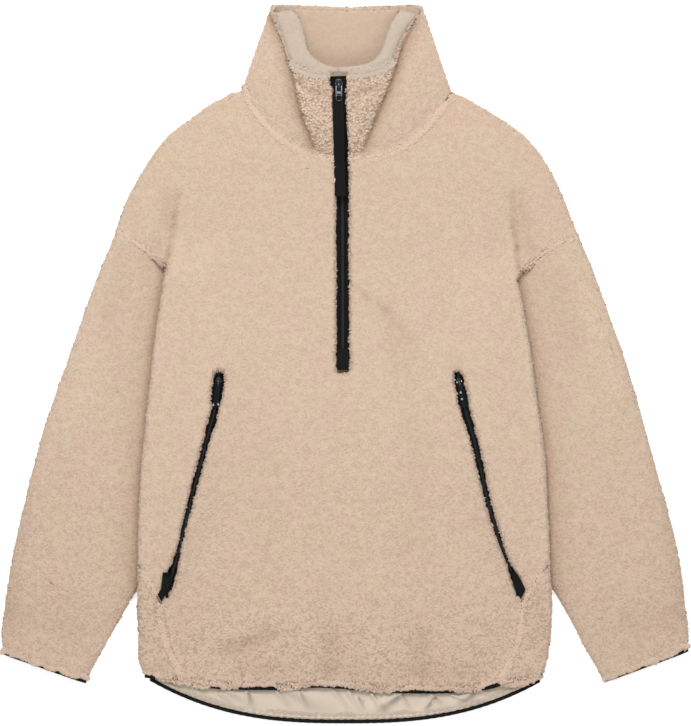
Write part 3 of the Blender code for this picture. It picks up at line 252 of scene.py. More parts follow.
def blankMaterial(name):
    made = bpy.data.materials.new(name)
    made.use_nodes = True
    tree = made.node_tree
    tree.nodes.clear()
    return made, tree


def finishMaterial(tree, settings, links):
    surface = addNode(tree, "BsdfPrincipled", settings, links)
    addNode(tree, "OutputMaterial", {}, {"Surface": surface.outputs[0]})


# the height of wandering round-backed curls, 1 along a back and 0 between two
def curlBacks(tree, place, size, offset):
    moved = addNode(tree, "VectorMath", {"operation": "ADD", 1: offset}, {0: place}).outputs[0]
    bends = {"Scale": 1000 / size, "Detail": 0.0, "Distortion": 0.7}
    noise = addNode(tree, "TexNoise", bends, {"Vector": moved}).outputs["Fac"]
    away = addNode(tree, "Math", {"operation": "SUBTRACT", 1: 0.5}, {0: noise}).outputs[0]
    distance = addNode(tree, "Math", {"operation": "ABSOLUTE"}, {0: away}).outputs[0]
    back = {"interpolation_type": "SMOOTHSTEP", "From Max": 0.13, "To Min": 1.0, "To Max": 0.0}
    return addNode(tree, "MapRange", back, {"Value": distance}).outputs[0]


# over the pile's colour: pinkish and yellowish blotches, then the painted shade of the shade attribute: warm
# brown where it is deep, as in creases and folds, and darker or paler overall
def shadedPile(tree, place, look, pile=None):
    shade = addNode(tree, "Attribute", {"attribute_name": "shade"}).outputs["Fac"]
    spots = {"Scale": 1000 / look["blotch"], "Detail": 2.0}
    blotches = addNode(tree, "TexNoise", spots, {"Vector": place}).outputs["Fac"]
    share = addNode(tree, "MapRange", {"From Min": 0.35, "From Max": 0.65}, {"Value": blotches}).outputs[0]
    ends = {"data_type": "RGBA", 6: linear(look["pinkish"]), 7: linear(look["yellowish"])}
    tint = addNode(tree, "Mix", ends, {0: share}).outputs[2]
    links = {7: tint} if pile is None else {6: pile, 7: tint}
    tinted = addNode(tree, "Mix", {"data_type": "RGBA", 0: 0.25, 6: linear(look["tip"])}, links).outputs[2]
    deep = {"From Min": 1.0, "From Max": 0.0, "To Max": 1.1}
    crease = addNode(tree, "MapRange", deep, {"Value": shade}).outputs[0]
    brown = {"data_type": "RGBA", 7: linear(look["crease"])}
    warmed = addNode(tree, "Mix", brown, {0: crease, 6: tinted}).outputs[2]
    depth = {"From Max": 1.2, "To Min": 0.5, "To Max": 1.1, "clamp": False}
    kept = addNode(tree, "MapRange", depth, {"Value": shade}).outputs[0]
    multiply = {"data_type": "RGBA", "blend_type": "MULTIPLY", 0: 1.0}
    return addNode(tree, "Mix", multiply, {6: warmed, 7: kept}).outputs[2]


# brushed yarn scatters light at its edge, so it is matt with a soft cream sheen
pileFinish = {"Roughness": 0.95, "Specular IOR Level": 0.2, "Sheen Weight": 0.35, "Sheen Roughness": 0.55,
              "Sheen Tint": linear("#F1E7DA")}


def sherpaMaterial(name, look):
    made, tree = blankMaterial(name)
    place = addNode(tree, "TexCoord").outputs["Object"]
    first = curlBacks(tree, place, look["curl"], (0, 0, 0))
    second = curlBacks(tree, place, look["curl"] * 0.9, (0.13, 0.27, 0.11))
    third = curlBacks(tree, place, look["strand"], (0.31, 0.05, 0.23))
    curls = addNode(tree, "Math", {"operation": "MAXIMUM"}, {0: first, 1: second}).outputs[0]
    mixed = addNode(tree, "Mix", {"data_type": "FLOAT", 0: 0.35}, {2: curls, 3: third}).outputs[0]
    hairs = {"Scale": 1000 / look["fibre"], "Detail": 2.0, "Roughness": 0.6}
    fibres = addNode(tree, "TexNoise", hairs, {"Vector": place}).outputs["Fac"]
    height = addNode(tree, "Mix", {"data_type": "FLOAT", 0: 0.18}, {2: mixed, 3: fibres}).outputs[0]
    curly = addNode(tree, "Attribute", {"attribute_name": "curly"}).outputs["Fac"]
    # painted shade: the valleys between the curls take the dark depth colour and the curls' backs the paler
    # tip or middle colour, more strongly where the pile is curly
    lift = addNode(tree, "MapRange", {"From Min": 0.1, "From Max": 0.8}, {"Value": height}).outputs[0]
    open01 = {"data_type": "RGBA", 6: linear(look["depth"]), 7: linear(look["tip"])}
    strong = addNode(tree, "Mix", open01, {0: lift}).outputs[2]
    gentleLift = addNode(tree, "MapRange", {"To Min": 0.72, "To Max": 1.0}, {"Value": lift}).outputs[0]
    brushed = {"data_type": "RGBA", 6: linear(look["depth"]), 7: linear(look["middle"])}
    gentle = addNode(tree, "Mix", brushed, {0: gentleLift}).outputs[2]
    pile = addNode(tree, "Mix", {"data_type": "RGBA"}, {0: curly, 6: gentle, 7: strong}).outputs[2]
    power = addNode(tree, "MapRange", {"To Min": 0.3, "To Max": 1.0}, {"Value": curly}).outputs[0]
    bump = addNode(tree, "Bump", {"Distance": look["bumpDepth"] * mm}, {"Height": height, "Strength": power})
    links = {"Base Color": shadedPile(tree, place, look, pile), "Normal": bump.outputs[0]}
    finishMaterial(tree, {**pileFinish, "IOR": 1.53}, links)
    return made


# one curl of the pile, seen as a strand: the same yarn with painted shade, darker at its ends and sides and
# paler along its bend
def strandMaterial(name, look):
    made, tree = blankMaterial(name)
    place = addNode(tree, "TexCoord").outputs["Object"]
    finishMaterial(tree, pileFinish, {"Base Color": shadedPile(tree, place, look)})
    return made


# flat-woven or knitted man-made yarn: two sets of threads cross, with painted shade where one dips under the
# other
def wovenMaterial(name, look):
    made, tree = blankMaterial(name)
    place = addNode(tree, "TexCoord").outputs["Object"]
    slant = {"rotation_type": "Z_AXIS", "Angle": look.get("turn", 0.0)}
    turned = addNode(tree, "VectorRotate", slant, {"Vector": place}).outputs[0]
    # a wave texture repeats every 2 pi / 20 of its scale, so this is one thread a wave
    threads = {"Scale": 314.16 / look["thread"], "Distortion": look["slub"], "Detail": 1.0,
               "Detail Scale": 0.6}
    across = addNode(tree, "TexWave", {**threads, "bands_direction": "X"}, {"Vector": turned}).outputs["Fac"]
    along = addNode(tree, "TexWave", {**threads, "bands_direction": "Y"}, {"Vector": turned}).outputs["Fac"]
    under = addNode(tree, "Math", {"operation": "SUBTRACT", 0: 1.0}, {1: along}).outputs[0]
    weave = addNode(tree, "Mix", {"data_type": "FLOAT"}, {0: across, 2: under, 3: along}).outputs[0]
    areas = {"Scale": 1000 / look["patch"], "Detail": 3.0}
    patches = addNode(tree, "TexNoise", areas, {"Vector": place}).outputs["Fac"]
    mixing = {"data_type": "FLOAT", 0: look["uneven"]}
    share = addNode(tree, "Mix", mixing, {2: weave, 3: patches}).outputs[0]
    ends = {"data_type": "RGBA", 6: linear(look["dark"]), 7: linear(look["light"])}
    colour = addNode(tree, "Mix", ends, {0: share}).outputs[2]
    # painted shade and light from the mesh's shade attribute
    if look.get("shaded"):
        shade = addNode(tree, "Attribute", {"attribute_name": "shade"}).outputs["Fac"]
        multiply = {"data_type": "RGBA", "blend_type": "MULTIPLY", 0: 1.0}
        colour = addNode(tree, "Mix", multiply, {6: colour, 7: shade}).outputs[2]
    low, high = look["rough"]
    rough = addNode(tree, "MapRange", {"To Min": low, "To Max": high}, {"Value": patches}).outputs[0]
    relief = {"Distance": look["deep"] * mm, "Strength": 0.7}
    bump = addNode(tree, "Bump", relief, {"Height": weave}).outputs[0]
    finish = {"Specular IOR Level": look["specular"], "IOR": 1.53, "Sheen Weight": look["sheen"],
              "Sheen Roughness": 0.4}
    finishMaterial(tree, finish, {"Base Color": colour, "Roughness": rough, "Normal": bump})
    return made


# a cast, moulded or drawn surface: fine grain, rubbed paler along its edges
def castMaterial(name, look):
    made, tree = blankMaterial(name)
    place = addNode(tree, "TexCoord").outputs["Object"]
    fine = {"Scale": 1000 / look["grain"], "Detail": 3.0}
    grain = addNode(tree, "TexNoise", fine, {"Vector": place}).outputs["Fac"]
    edge = addNode(tree, "NewGeometry").outputs["Pointiness"]
    rubbed = addNode(tree, "MapRange", {"From Min": 0.52, "From Max": 0.62}, {"Value": edge}).outputs[0]
    ends = {"data_type": "RGBA", 6: linear(look["dark"]), 7: linear(look["light"])}
    plated = addNode(tree, "Mix", ends, {0: grain}).outputs[2]
    worn = {"data_type": "RGBA", 7: linear(look["rubbed"])}
    colour = addNode(tree, "Mix", worn, {0: rubbed, 6: plated}).outputs[2]
    low, high = look["rough"]
    rough = addNode(tree, "MapRange", {"To Min": low, "To Max": high}, {"Value": grain}).outputs[0]
    bump = addNode(tree, "Bump", {"Distance": 0.02 * mm, "Strength": 0.5}, {"Height": grain}).outputs[0]
    finish = {"Metallic": look.get("metallic", 1.0), "Specular IOR Level": look.get("specular", 0.5)}
    finishMaterial(tree, finish, {"Base Color": colour, "Roughness": rough, "Normal": bump})
    return made


# polyester sherpa, knitted then brushed and tumbled into curls: matt, with pale edges; the brownish shade
# between its curls is painted
sherpa = {
    "curl": 8.0,            # mm from one curl to the next but one; a curl is about a quarter of it wide
    "strand": 3.4,          # mm, the finer curls between them
    "fibre": 0.9,           # mm; real fibres are 0.03 mm, drawn this coarse so that they show
    "blotch": 34.0,         # mm, where the pile lies a little differently
    "tip": "#CCB6A4",
    "middle": "#C5B09D",
    # painted shade between the curls
    "depth": "#8C7059",
    # the warm brown of painted shade, deepest in creases and folds
    "crease": "#94694A",
    "pinkish": "#CEB09C",
    "yellowish": "#CAB799",
    "bumpDepth": 1.3,       # mm
}
# the same yarn brushed flat: smoother, greyer and paler, as at the collar's rolled edge
rimPile = {**sherpa, "tip": "#BAAB9C", "middle": "#B5A697", "depth": "#94846F", "pinkish": "#BBA99A",
           "yellowish": "#BBAD9B", "bumpDepth": 0.6}
# and in the shade of the neck, a little browner
insidePile = {**sherpa, "tip": "#C2AB98", "middle": "#BCA592", "depth": "#9A826C", "pinkish": "#BDA38F",
              "yellowish": "#B9A68C", "bumpDepth": 0.5}
# plain-woven polyester taffeta, pressed: thin and faintly silky; threads of 0.15 mm are drawn at 0.9
taffeta = {"thread": 0.9, "slub": 0.5, "patch": 26.0, "uneven": 0.5, "dark": "#BEAE9B", "light": "#CEC0AE",
           "rough": (0.45, 0.6), "deep": 0.06, "specular": 0.35, "sheen": 0.1, "turn": 0.06, "shaded": True}
# woven nylon webbing, dyed black: dull, with fine ribs
webbing = {"thread": 1.2, "slub": 0.4, "patch": 3.0, "uneven": 0.4, "dark": "#070706", "light": "#141412",
           "rough": (0.7, 0.85), "deep": 0.12, "specular": 0.14, "sheen": 0.0}
# a polyester twill, so its lines slant
tapeWeave = {**webbing, "thread": 1.0, "light": "#121211", "turn": 0.78}
# knitted elastane binding, uneven and a trace softer
jersey = {**webbing, "thread": 1.5, "slub": 1.2, "light": "#1A1917", "rough": (0.8, 0.92), "sheen": 0.03}
# die-cast zinc, blackened: dark and satin, paler where it is rubbed
zinc = {"grain": 0.5, "dark": "#1A1B1D", "light": "#27282B", "rubbed": "#6C6E72", "rough": (0.3, 0.42)}
paleZinc = {**zinc, "dark": "#646469", "light": "#737378", "rubbed": "#9C9CA1"}    # its plating worn grey
ringZinc = {**zinc, "dark": "#3A3A3D", "light": "#4A4A4E"}                         # and half worn
# turned steel, polished: bright small glints
steel = {**zinc, "dark": "#9A9A9C", "light": "#B5B5B6", "rubbed": "#E0E0E0", "rough": (0.15, 0.25)}
# drawn nylon monofilament, smooth enough for small glints
monofilament = {"grain": 1.5, "dark": "#0B0B0C", "light": "#131315", "rubbed": "#242528",
                "rough": (0.3, 0.42), "metallic": 0.0, "specular": 0.4}
# spun polyester thread, a little lighter than the webbing under it
spunThread = {"grain": 0.6, "dark": "#0E0E0D", "light": "#1B1B1A", "rubbed": "#232321",
              "rough": (0.7, 0.85), "metallic": 0.0, "specular": 0.12}
# moulded rubber coating, faintly satin
rubber = {"grain": 0.9, "dark": "#070708", "light": "#0D0D0E", "rubbed": "#161617", "rough": (0.6, 0.72),
          "metallic": 0.0, "specular": 0.15}

materials = {
    "strands": strandMaterial("sherpaStrands", sherpa),
    "fleece": sherpaMaterial("sherpaPile", sherpa),
    "rim": sherpaMaterial("brushedRim", rimPile),
    "rimStrands": strandMaterial("brushedRimStrands", rimPile),
    "inside": sherpaMaterial("shadedInside", insidePile),
    "insideStrands": strandMaterial("shadedInsideStrands", insidePile),
    "lining": wovenMaterial("wovenTaffeta", taffeta),
    "binding": wovenMaterial("knittedBinding", jersey),
    "tape": wovenMaterial("twillTape", tapeWeave),
    "patch": wovenMaterial("wovenPatch", {**webbing, "thread": 1.4}),
    "strap": wovenMaterial("nylonWebbing", webbing),
    "coil": castMaterial("nylonCoil", monofilament),
    "thread": castMaterial("polyesterThread", spunThread),
    "rubber": castMaterial("mouldedRubber", rubber),
    "sliderMetal": castMaterial("blackenedZinc", zinc),
    "tabMetal": castMaterial("gunmetalZinc", paleZinc),
    "ringMetal": castMaterial("rolledRim", ringZinc),
    "eyelet": castMaterial("polishedSteel", steel),
}
print(len(materials), "materials made")


# every surface of the frame together, to look for what lies next to a piece
allPoints, allFaces, start = [], [], 0
for nodeName in frame["nodes"]:
    somePoints, someFaces = nodeSurface(nodeName)
    allPoints.append(somePoints)
    allFaces.append(someFaces + start)
    start += len(somePoints)
everything = BVHTree.FromPolygons(np.concatenate(allPoints).tolist(), np.concatenate(allFaces).tolist())


# 1 for a face that looks out on open air, 0 for one pressed against other cloth
def openFaces(points, faces, room):
    centres, normals, _ = faceFrames(points, faces)
    free = np.ones(len(faces))
    for number, (centre, normal) in enumerate(zip(centres, normals)):
        if everything.ray_cast(Vector(centre + normal * 0.05), Vector(normal), room)[0] is not None:
            free[number] = 0
    return free


hiddenFace = 14.0    # mm, the size of faces that other cloth covers


# how far each point lies from a line drawn on the laid garment, and on which side
def fromLine(points, line):
    nearest, side = np.full(len(points), 1e9), np.ones(len(points))
    for (x0, y0), (x1, y1) in zip(line, line[1:]):
        run = np.array([x1 - x0, y1 - y0])
        offset = points[:, :2] - (x0, y0)
        part = np.clip(offset @ run / (run @ run), 0, 1)
        away = np.linalg.norm(offset - part[:, None] * run, axis=1)
        cross = run[0] * offset[:, 1] - run[1] * offset[:, 0]
        side = np.where(away < nearest, np.sign(cross), side)
        nearest = np.minimum(nearest, away)
    return nearest, side


# lines on the laid garment, in mm from its middle
leftFold = [
    (-92, 424), (-87, 411), (-80, 398), (-71, 381), (-67, 363), (-63, 345), (-56, 312), (-50, 291),
    (-37, 261),
]
rightFold = [
    (86, 427), (82, 412), (75, 394), (69, 383), (60, 350), (49, 322), (40, 301), (34, 286), (23, 261),
]
leftSide = [
    (-250, -293), (-249, -227), (-247, -161), (-243, -106), (-236, -38), (-230, 17), (-219, 96),
    (-214, 122),
]
rightSide = [
    (250, -293), (246, -227), (243, -161), (240, -106), (230, -38), (223, 17), (209, 96), (204, 122),
]

# soft strokes of painted shade and painted light, where the pile lies over folds below it; the front's and
# the collar's also dent or raise the surface: two ends, width and how much
frontStrokes = [
    (-200, 204, -204, 178, 3.5, -0.10), (-204, 178, -212, 132, 3, -0.20),
    (-212, 132, -217, 112, 3, -0.22), (200, 204, 202, 166, 3.5, -0.10), (202, 166, 206, 138, 3, -0.20),
    (206, 138, 209, 112, 3, -0.22), (-210, 200, -226, 140, 11, -0.07), (208, 200, 220, 140, 11, -0.07),
    (-194, 190, -204, 130, 5, 0.03), (194, 190, 200, 130, 5, 0.03), (-146, -346, -90, -324, 8, -0.13),
    (-224, -300, -200, -374, 4, -0.08), (-214, -300, -190, -370, 4, 0.04),
    (-130, -322, -78, -300, 12, 0.04), (-18, -330, -16, -368, 12, -0.08),
    (90, -330, 92, -368, 12, -0.09), (-54, -310, -40, -365, 14, 0.04), (36, -310, 38, -365, 14, 0.04),
    (5, 97, 28, 77, 4, -0.07), (28, 77, 50, 62, 5, -0.08), (50, 62, 78, 28, 6, -0.07),
    (52, 38, 72, -4, 16, -0.045), (-90, -104, -90, -224, 16, -0.025), (84, -74, 84, -224, 16, -0.03),
    (-225, 60, -236, -60, 12, 0.03), (-240, -120, -243, -280, 12, 0.03), (218, 60, 230, -60, 12, 0.03),
    (236, -120, 243, -280, 12, 0.03), (-150, 20, -165, -100, 10, 0.03),
    (-120, -370, 160, -372, 16, -0.05),
]
collarStrokes = [
    (-59, 337, -40, 326, 3.5, -0.13), (-40, 326, -23, 321, 3.5, -0.13), (8, 322, 37, 328, 4, -0.15),
    (-60, 330, -40, 318, 4, 0.05), (10, 315, 36, 320, 4, 0.05), (-46, 262, -20, 252, 4, -0.08),
    (2, 250, 22, 256, 4, -0.08),
]
leftSleeveStrokes = [
    (-262, 128, -286, 38, 16, -0.05), (-300, 38, -330, -72, 20, 0.04),
    (-385, -110, -405, -300, 16, -0.07), (-320, -320, -400, -300, 22, -0.05),
    (-330, 120, -372, -40, 14, 0.02),
]
rightSleeveStrokes = [
    (250, 108, 272, 18, 16, -0.05), (304, 68, 330, -32, 20, 0.04), (385, -110, 405, -300, 16, -0.06),
    (320, -320, 400, -300, 22, -0.05), (330, 120, 372, -40, 14, 0.02),
]


# how far the cloth's edges stand back from each zip, or close over it, at heights down the garment, in mm
partings = {
    "front_zip": [(345, 1.5), (255, 1.4), (200, 0.4), (60, -0.2), (-8, -0.5)],
    "pocket_zip_left": [(0, 0.9), (-42, 0.9), (-50, -1.2), (-60, -1.2), (-65, 0.2), (-75, 0.2), (-82, -0.6),
                        (-200, -1.0), (-235, -2.0), (-285, -2.4)],
    "pocket_zip_right": [(0, 0.6), (-44, 0.8), (-54, -0.2), (-150, -0.6), (-200, -1.0), (-235, -2.0),
                         (-285, -2.4)],
}


def partedBy(points):
    total = np.zeros_like(points)
    for node, rows in partings.items():
        line = middleLine(node)
        away, side = fromLine(points, line)
        run = np.subtract(line[-1], line[0])
        run = run / np.linalg.norm(run)
        push = np.interp(-points[:, 1], [-row[0] for row in rows], [row[1] for row in rows])
        power = side * push * np.exp(-(away / 12) ** 4) * (points[:, 2] > 12)
        total[:, 0] -= run[1] * power
        total[:, 1] += run[0] * power
    return total


def strokesAt(points, strokes):
    total = np.zeros(len(points))
    for x0, y0, x1, y1, width, amount in strokes:
        away, _ = fromLine(points, [(x0, y0), (x1, y1)])
        total += amount * np.exp(-(away / width) ** 2)
    return total


# painted shade and light of the pile at each point, and how open its curls are, from 0 to 1
def pileAt(node, points):
    shade, curly = np.ones(len(points)), np.full(len(points), cloth[node]["curly"])
    upper = (points[:, 2] > 12).astype(float)
    if node == "collar":
        left, leftWay = fromLine(points, leftFold)
        right, rightWay = fromLine(points, rightFold)
        inner = smoothStep(left * leftWay, -2, 2) * smoothStep(-right * rightWay, -2, 2) * upper
        away = np.minimum(left, right)
        # painted shade: the side flaps a little darker, a painted shadow along each fold line, deepest on the
        # side flap below the bib's edge, and the painted shade and light of the small creases
        shade -= 0.02 * (1 - inner)
        shade -= (1.15 - inner) * upper * 0.40 * np.exp(-(away / 2.2) ** 2)
        shade -= (1 - inner) * upper * (0.20 * np.exp(-(away / 5.5) ** 2) + 0.13 * np.exp(-(away / 13) ** 2))
        shade += strokesAt(points, collarStrokes) * upper
        curly += (0.9 - curly) * inner
    elif node == "front_panel":
        # painted shade and light of the folds, and painted shade a little darker toward the shoulders
        shade += strokesAt(points, frontStrokes) * upper - 0.03 * smoothStep(points[:, 1], 20, 220)
        curly += 0.12 * smoothStep(-points[:, 1], 0, 220) + 0.32 * smoothStep(-points[:, 1], 240, 360)
    elif node in ("sleeve_left", "sleeve_right"):
        left = node == "sleeve_left"
        away, _ = fromLine(points, leftSide if left else rightSide)
        # painted shadow on the sleeve beside the body's edge, which lies over it, then the painted shade and
        # light of the sleeve's folds; the whole a trace darker
        shade -= 0.20 * np.exp(-(away / 7) ** 2) + 0.07 * np.exp(-(away / 24) ** 2)
        strokes = leftSleeveStrokes if left else rightSleeveStrokes
        shade += strokesAt(points, strokes) * (points[:, 2] > 8) - 0.015
        curly += 0.15 * smoothStep(-points[:, 1], 50, 280)
    return shade, curly


# title and slot, size of its faces in mm, how open its curls are, and its cut, in metres
fleece = {"slot": "fleece", "look": "fleece", "fine": 6.8, "curly": 0.15}
sleeve = {**fleece, "flat": (0.38, 0.53), "area": 0.16}
sidePanel = {**fleece, "fine": 3.0, "curly": 0.55, "flat": (0.10, 0.16)}
rim = {"slot": "fleece_rim", "look": "rim", "fine": 2.0, "curly": 0.0, "flat": (0.03, 0.13), "area": 0.0029}
cloth = {
    "front_panel": {**fleece, "title": "frontPanel", "curly": 0.12, "flat": (0.56, 0.72), "area": 0.318},
    "back_panel": {**fleece, "title": "backPanel", "flat": (0.56, 0.755), "area": 0.343},
    "sleeve_left": {**sleeve, "title": "sleeveLeft"},
    "sleeve_right": {**sleeve, "title": "sleeveRight"},
    "side_panel_left": {**sidePanel, "title": "sidePanelLeft", "area": 0.0087},
    "side_panel_right": {**sidePanel, "title": "sidePanelRight", "area": 0.0104},
    "collar": {**fleece, "title": "collarBand", "fine": 3.4, "flat": (0.45, 0.14), "area": 0.0535},
    "collar_facing": {"title": "collarFacing", "slot": "fleece_inside", "look": "inside", "fine": 2.5,
                      "curly": 0.0, "flat": (0.13, 0.09), "area": 0.0094},
    "collar_rim_left": {**rim, "title": "collarRimLeft"},
    "collar_rim_right": {**rim, "title": "collarRimRight"},
    "back_lining": {"title": "backLining", "slot": "lining", "look": "lining", "fine": 2.5, "curly": 0.0,
                    "flat": (0.46, 0.078), "area": 0.0283},
}


# long narrow pieces: what the frame's own solid measures across, every few mm along it
def railOf(node, step):
    points, faces = nodeSurface(node)
    ends = edgesOf(faces)[0]
    first, second = points[ends[:, 0]], points[ends[:, 1]]
    low, high = points[:, 1].min() + 0.2, points[:, 1].max() - 0.2
    rows = []
    for up in np.linspace(high, low, int((high - low) / step) + 1):
        crossing = (first[:, 1] - up) * (second[:, 1] - up) < 0
        a, b = first[crossing], second[crossing]
        cut = a + (b - a) * ((up - a[:, 1]) / (b[:, 1] - a[:, 1]))[:, None]
        left, right = cut[cut[:, 0].argmin()], cut[cut[:, 0].argmax()]
        wide = right[0] - left[0]
        rows.append(((left[0] + right[0]) / 2, up, cut[:, 2].max(), wide / 2, (right[2] - left[2]) / wide))
    rows = np.array(rows)
    run = np.gradient(rows[:, :2], axis=0)
    run /= np.linalg.norm(run, axis=1, keepdims=True)
    rail = {"middle": rows[:, :3], "half": rows[:, 3] * abs(run[:, 1]), "slope": rows[:, 4]}
    rail["along"] = np.column_stack([run, np.gradient(rows[:, 2]) / step])
    rail["across"] = np.column_stack([-run[:, 1], run[:, 0], -run[:, 1] * rows[:, 4]])
    return rail


def middleLine(node):
    return [tuple(spot) for spot in railOf(node, 12.0)["middle"][:, :2]]


# a closed tube of sections; profiles gives each section's points as (across, up)
def sweptMesh(name, middles, across, profiles, material):
    count, sides = profiles.shape[:2]
    upward = np.array([0.0, 0.0, 1.0])
    points = middles[:, None] + across[:, None] * profiles[:, :, :1] + upward * profiles[:, :, 1:]
    faces = []
    turns = np.arange(sides)
    after = (turns + 1) % sides
    for step in range(count - 1):
        here, there = step * sides, (step + 1) * sides
        faces.append(np.stack([here + turns, here + after, there + after], 1))
        faces.append(np.stack([here + turns, there + after, there + turns], 1))
    fan = np.stack([np.zeros(sides - 2, int), turns[1:-1], turns[2:]], 1)
    faces += [fan[:, ::-1], fan + (count - 1) * sides]
    return outwardMesh(name, points.reshape(-1, 3), np.concatenate(faces), material)


def outwardMesh(name, points, faces, material):
    corners = points[faces]
    volume = np.einsum("ij,ij->i", corners[:, 0], np.cross(corners[:, 1], corners[:, 2])).sum()
    return makeMesh(name, points, faces if volume > 0 else faces[:, ::-1], material)


# strands in one mesh: paths holds their middles, side the way each doesn't bend, thick its two widths
def roundStrands(name, paths, side, thick, material, sides=6):
    count, steps = paths.shape[:2]
    run = np.gradient(paths, axis=1)
    run /= np.linalg.norm(run, axis=2, keepdims=True)
    upward = np.cross(side[:, None], run)
    angles = np.arange(sides) * 2 * np.pi / sides
    flat = np.cos(angles)[:, None] * side[:, None, None] * thick[0] / 2
    rings = paths[:, :, None] + flat + np.sin(angles)[:, None] * upward[:, :, None] * thick[1] / 2
    strip = []
    for step in range(steps - 1):
        for turn in range(sides):
            a, b = step * sides + turn, step * sides + (turn + 1) % sides
            strip += [[a, b, b + sides], [a, b + sides, a + sides]]
    last = (steps - 1) * sides
    for turn in range(1, sides - 1):
        strip += [[0, turn + 1, turn], [last, last + turn, last + turn + 1]]
    each = steps * sides
    faces = (np.array(strip)[None] + np.arange(count)[:, None, None] * each).reshape(-1, 3)
    return outwardMesh(name, rings.reshape(-1, 3), faces, material)


def railAt(rail, spacing, start=0.0, end=0.0):
    lengths = np.linalg.norm(np.diff(rail["middle"], axis=0), axis=1)
    along = np.concatenate([[0], np.cumsum(lengths)])
    places = np.arange(start, along[-1] - end, spacing)
    found = {}
    for key, values in rail.items():
        if values.ndim == 1:
            found[key] = np.interp(places, along, values)
        else:
            found[key] = np.stack([np.interp(places, along, values[:, axis]) for axis in range(3)], 1)
    return found


# stitches that lie along a rail: shift is how far from its middle, pitch from one to the next
def stitchRow(name, rail, shift, raised, stitch, material):
    spots = railAt(rail, stitch["pitch"], stitch["inset"], stitch["inset"])
    shifts = shift(spots) if callable(shift) else np.full(len(spots["middle"]), shift)
    centres = spots["middle"] + spots["across"] * shifts[:, None] + (0, 0, raised)
    paths = []
    for part, high in ((-0.5, -0.25), (-0.3, 0.12), (0.0, 0.2), (0.3, 0.12), (0.5, -0.25)):
        paths.append(centres + spots["along"] * stitch["length"] * part + (0, 0, high * stitch["thick"] * 2))
    thick = (stitch["thick"], stitch["thick"])
    return roundStrands(name, np.stack(paths, 1), spots["across"], thick, material, 4)


def joined(first, others):
    with bpy.context.temp_override(active_object=first, selected_editable_objects=[first, *others]):
        bpy.ops.object.join()
    return first


def settle(made, body, node=None):
    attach(made, body)
    if node:
        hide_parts(node)
    return made


# the middles of the two patches over the pockets' ends, kept clear of curls, and how far, in mm
patchLines = [[(-212.5, -250), (-215.2, -267), (-220.5, -278), (-220.0, -284)],
              [(201, -249), (204.5, -258), (209.5, -269), (210.6, -281)]]
patchRoom = 7.5


def straightUp(count):
    return np.repeat([[0.0, 0.0, 1.0]], count, 0)


# curls of pile: each a bent strand with a round back, both ends sunk in the cloth
def makeCurls(name, roots, outward, along, look, material, shade=1.0, size=None):
    room = look.get("clearance", patchRoom)
    clear = np.min([fromLine(roots, line)[0] for line in patchLines], axis=0) > room
    size = np.ones(len(roots)) if size is None else size
    shade = np.ones(len(size)) * shade
    roots, outward, along, size, shade = (values[clear] for values in (roots, outward, along, size, shade))
    count, steps = len(roots), look["steps"]
    size = (size * dice.uniform(0.75, 1.25, count))[:, None]
    aside = np.cross(outward, along)
    half = look["length"] / 2 * size
    bow = dice.uniform(-1, 1, (count, 1)) * look["bow"] * size
    twist = dice.uniform(-1, 1, (count, 1)) * look["twist"] * size
    # painted shade: each curl takes the shade it is given, spread a little at random; its ends and sides are
    # painted darker than its back
    tone = dice.uniform(1 - look["vary"], 1 + look["vary"], count) * shade
    points, shades = [], []
    for step in range(steps + 1):
        part = 2 * step / steps - 1
        lift = look["height"] * size * (1 - part ** 2) - look["sunk"] * part ** 2
        sideways = bow * (1 - part ** 2) + twist * part * (1 - part ** 2)
        centre = roots + along * half * part + aside * sideways + outward * lift
        if step in (0, steps):
            points.append(centre)
            shades.append(tone * look["shade"][0])
            continue
        wide = look["width"] / 2 * size
        points.append(centre - aside * wide - outward * wide * 0.7)
        points.append(centre + outward * wide * 0.35)
        points.append(centre + aside * wide - outward * wide * 0.7)
        shades += [tone * look["shade"][0], tone * look["shade"][1], tone * look["shade"][0]]
    strip = [[0, 2, 1], [0, 3, 2]]
    for step in range(steps - 2):
        a = 1 + 3 * step
        strip += [[a, a + 1, a + 4], [a, a + 4, a + 3], [a + 1, a + 2, a + 5], [a + 1, a + 5, a + 4]]
    last = 1 + 3 * (steps - 1)
    strip += [[last - 3, last - 2, last], [last - 2, last - 1, last]]
    faces = (np.array(strip)[None] + np.arange(count)[:, None, None] * (last + 1)).reshape(-1, 3)
    points = np.stack(points, 1).reshape(-1, 3)
    points[:, 2] = np.maximum(points[:, 2], 0.05)    # no curl reaches below the floor
    made = makeMesh(name, points, faces, material, {"shade": np.stack(shades, 1).ravel()})
    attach(made, "garment")
    print(name, count, "curls")
    return made


# places on a surface, spread by area, with its outward direction there and one along it
def placesOn(points, faces, chosen, spacing):
    centres, normals, sizes = faceFrames(points, faces)
    sizes = sizes * chosen
    count = int(sizes.sum() / spacing ** 2)
    chance = dice.uniform(0, sizes.sum(), count)
    picked = np.searchsorted(np.cumsum(sizes), chance).clip(0, len(faces) - 1)
    mix = dice.dirichlet((1, 1, 1), count)
    roots = (points[faces[picked]] * mix[:, :, None]).sum(1)
    outward = normals[picked]
    along = dice.normal(size=(count, 3))
    along -= outward * (along * outward).sum(1, keepdims=True)
    along /= np.linalg.norm(along, axis=1, keepdims=True)
    return roots, outward, along, picked


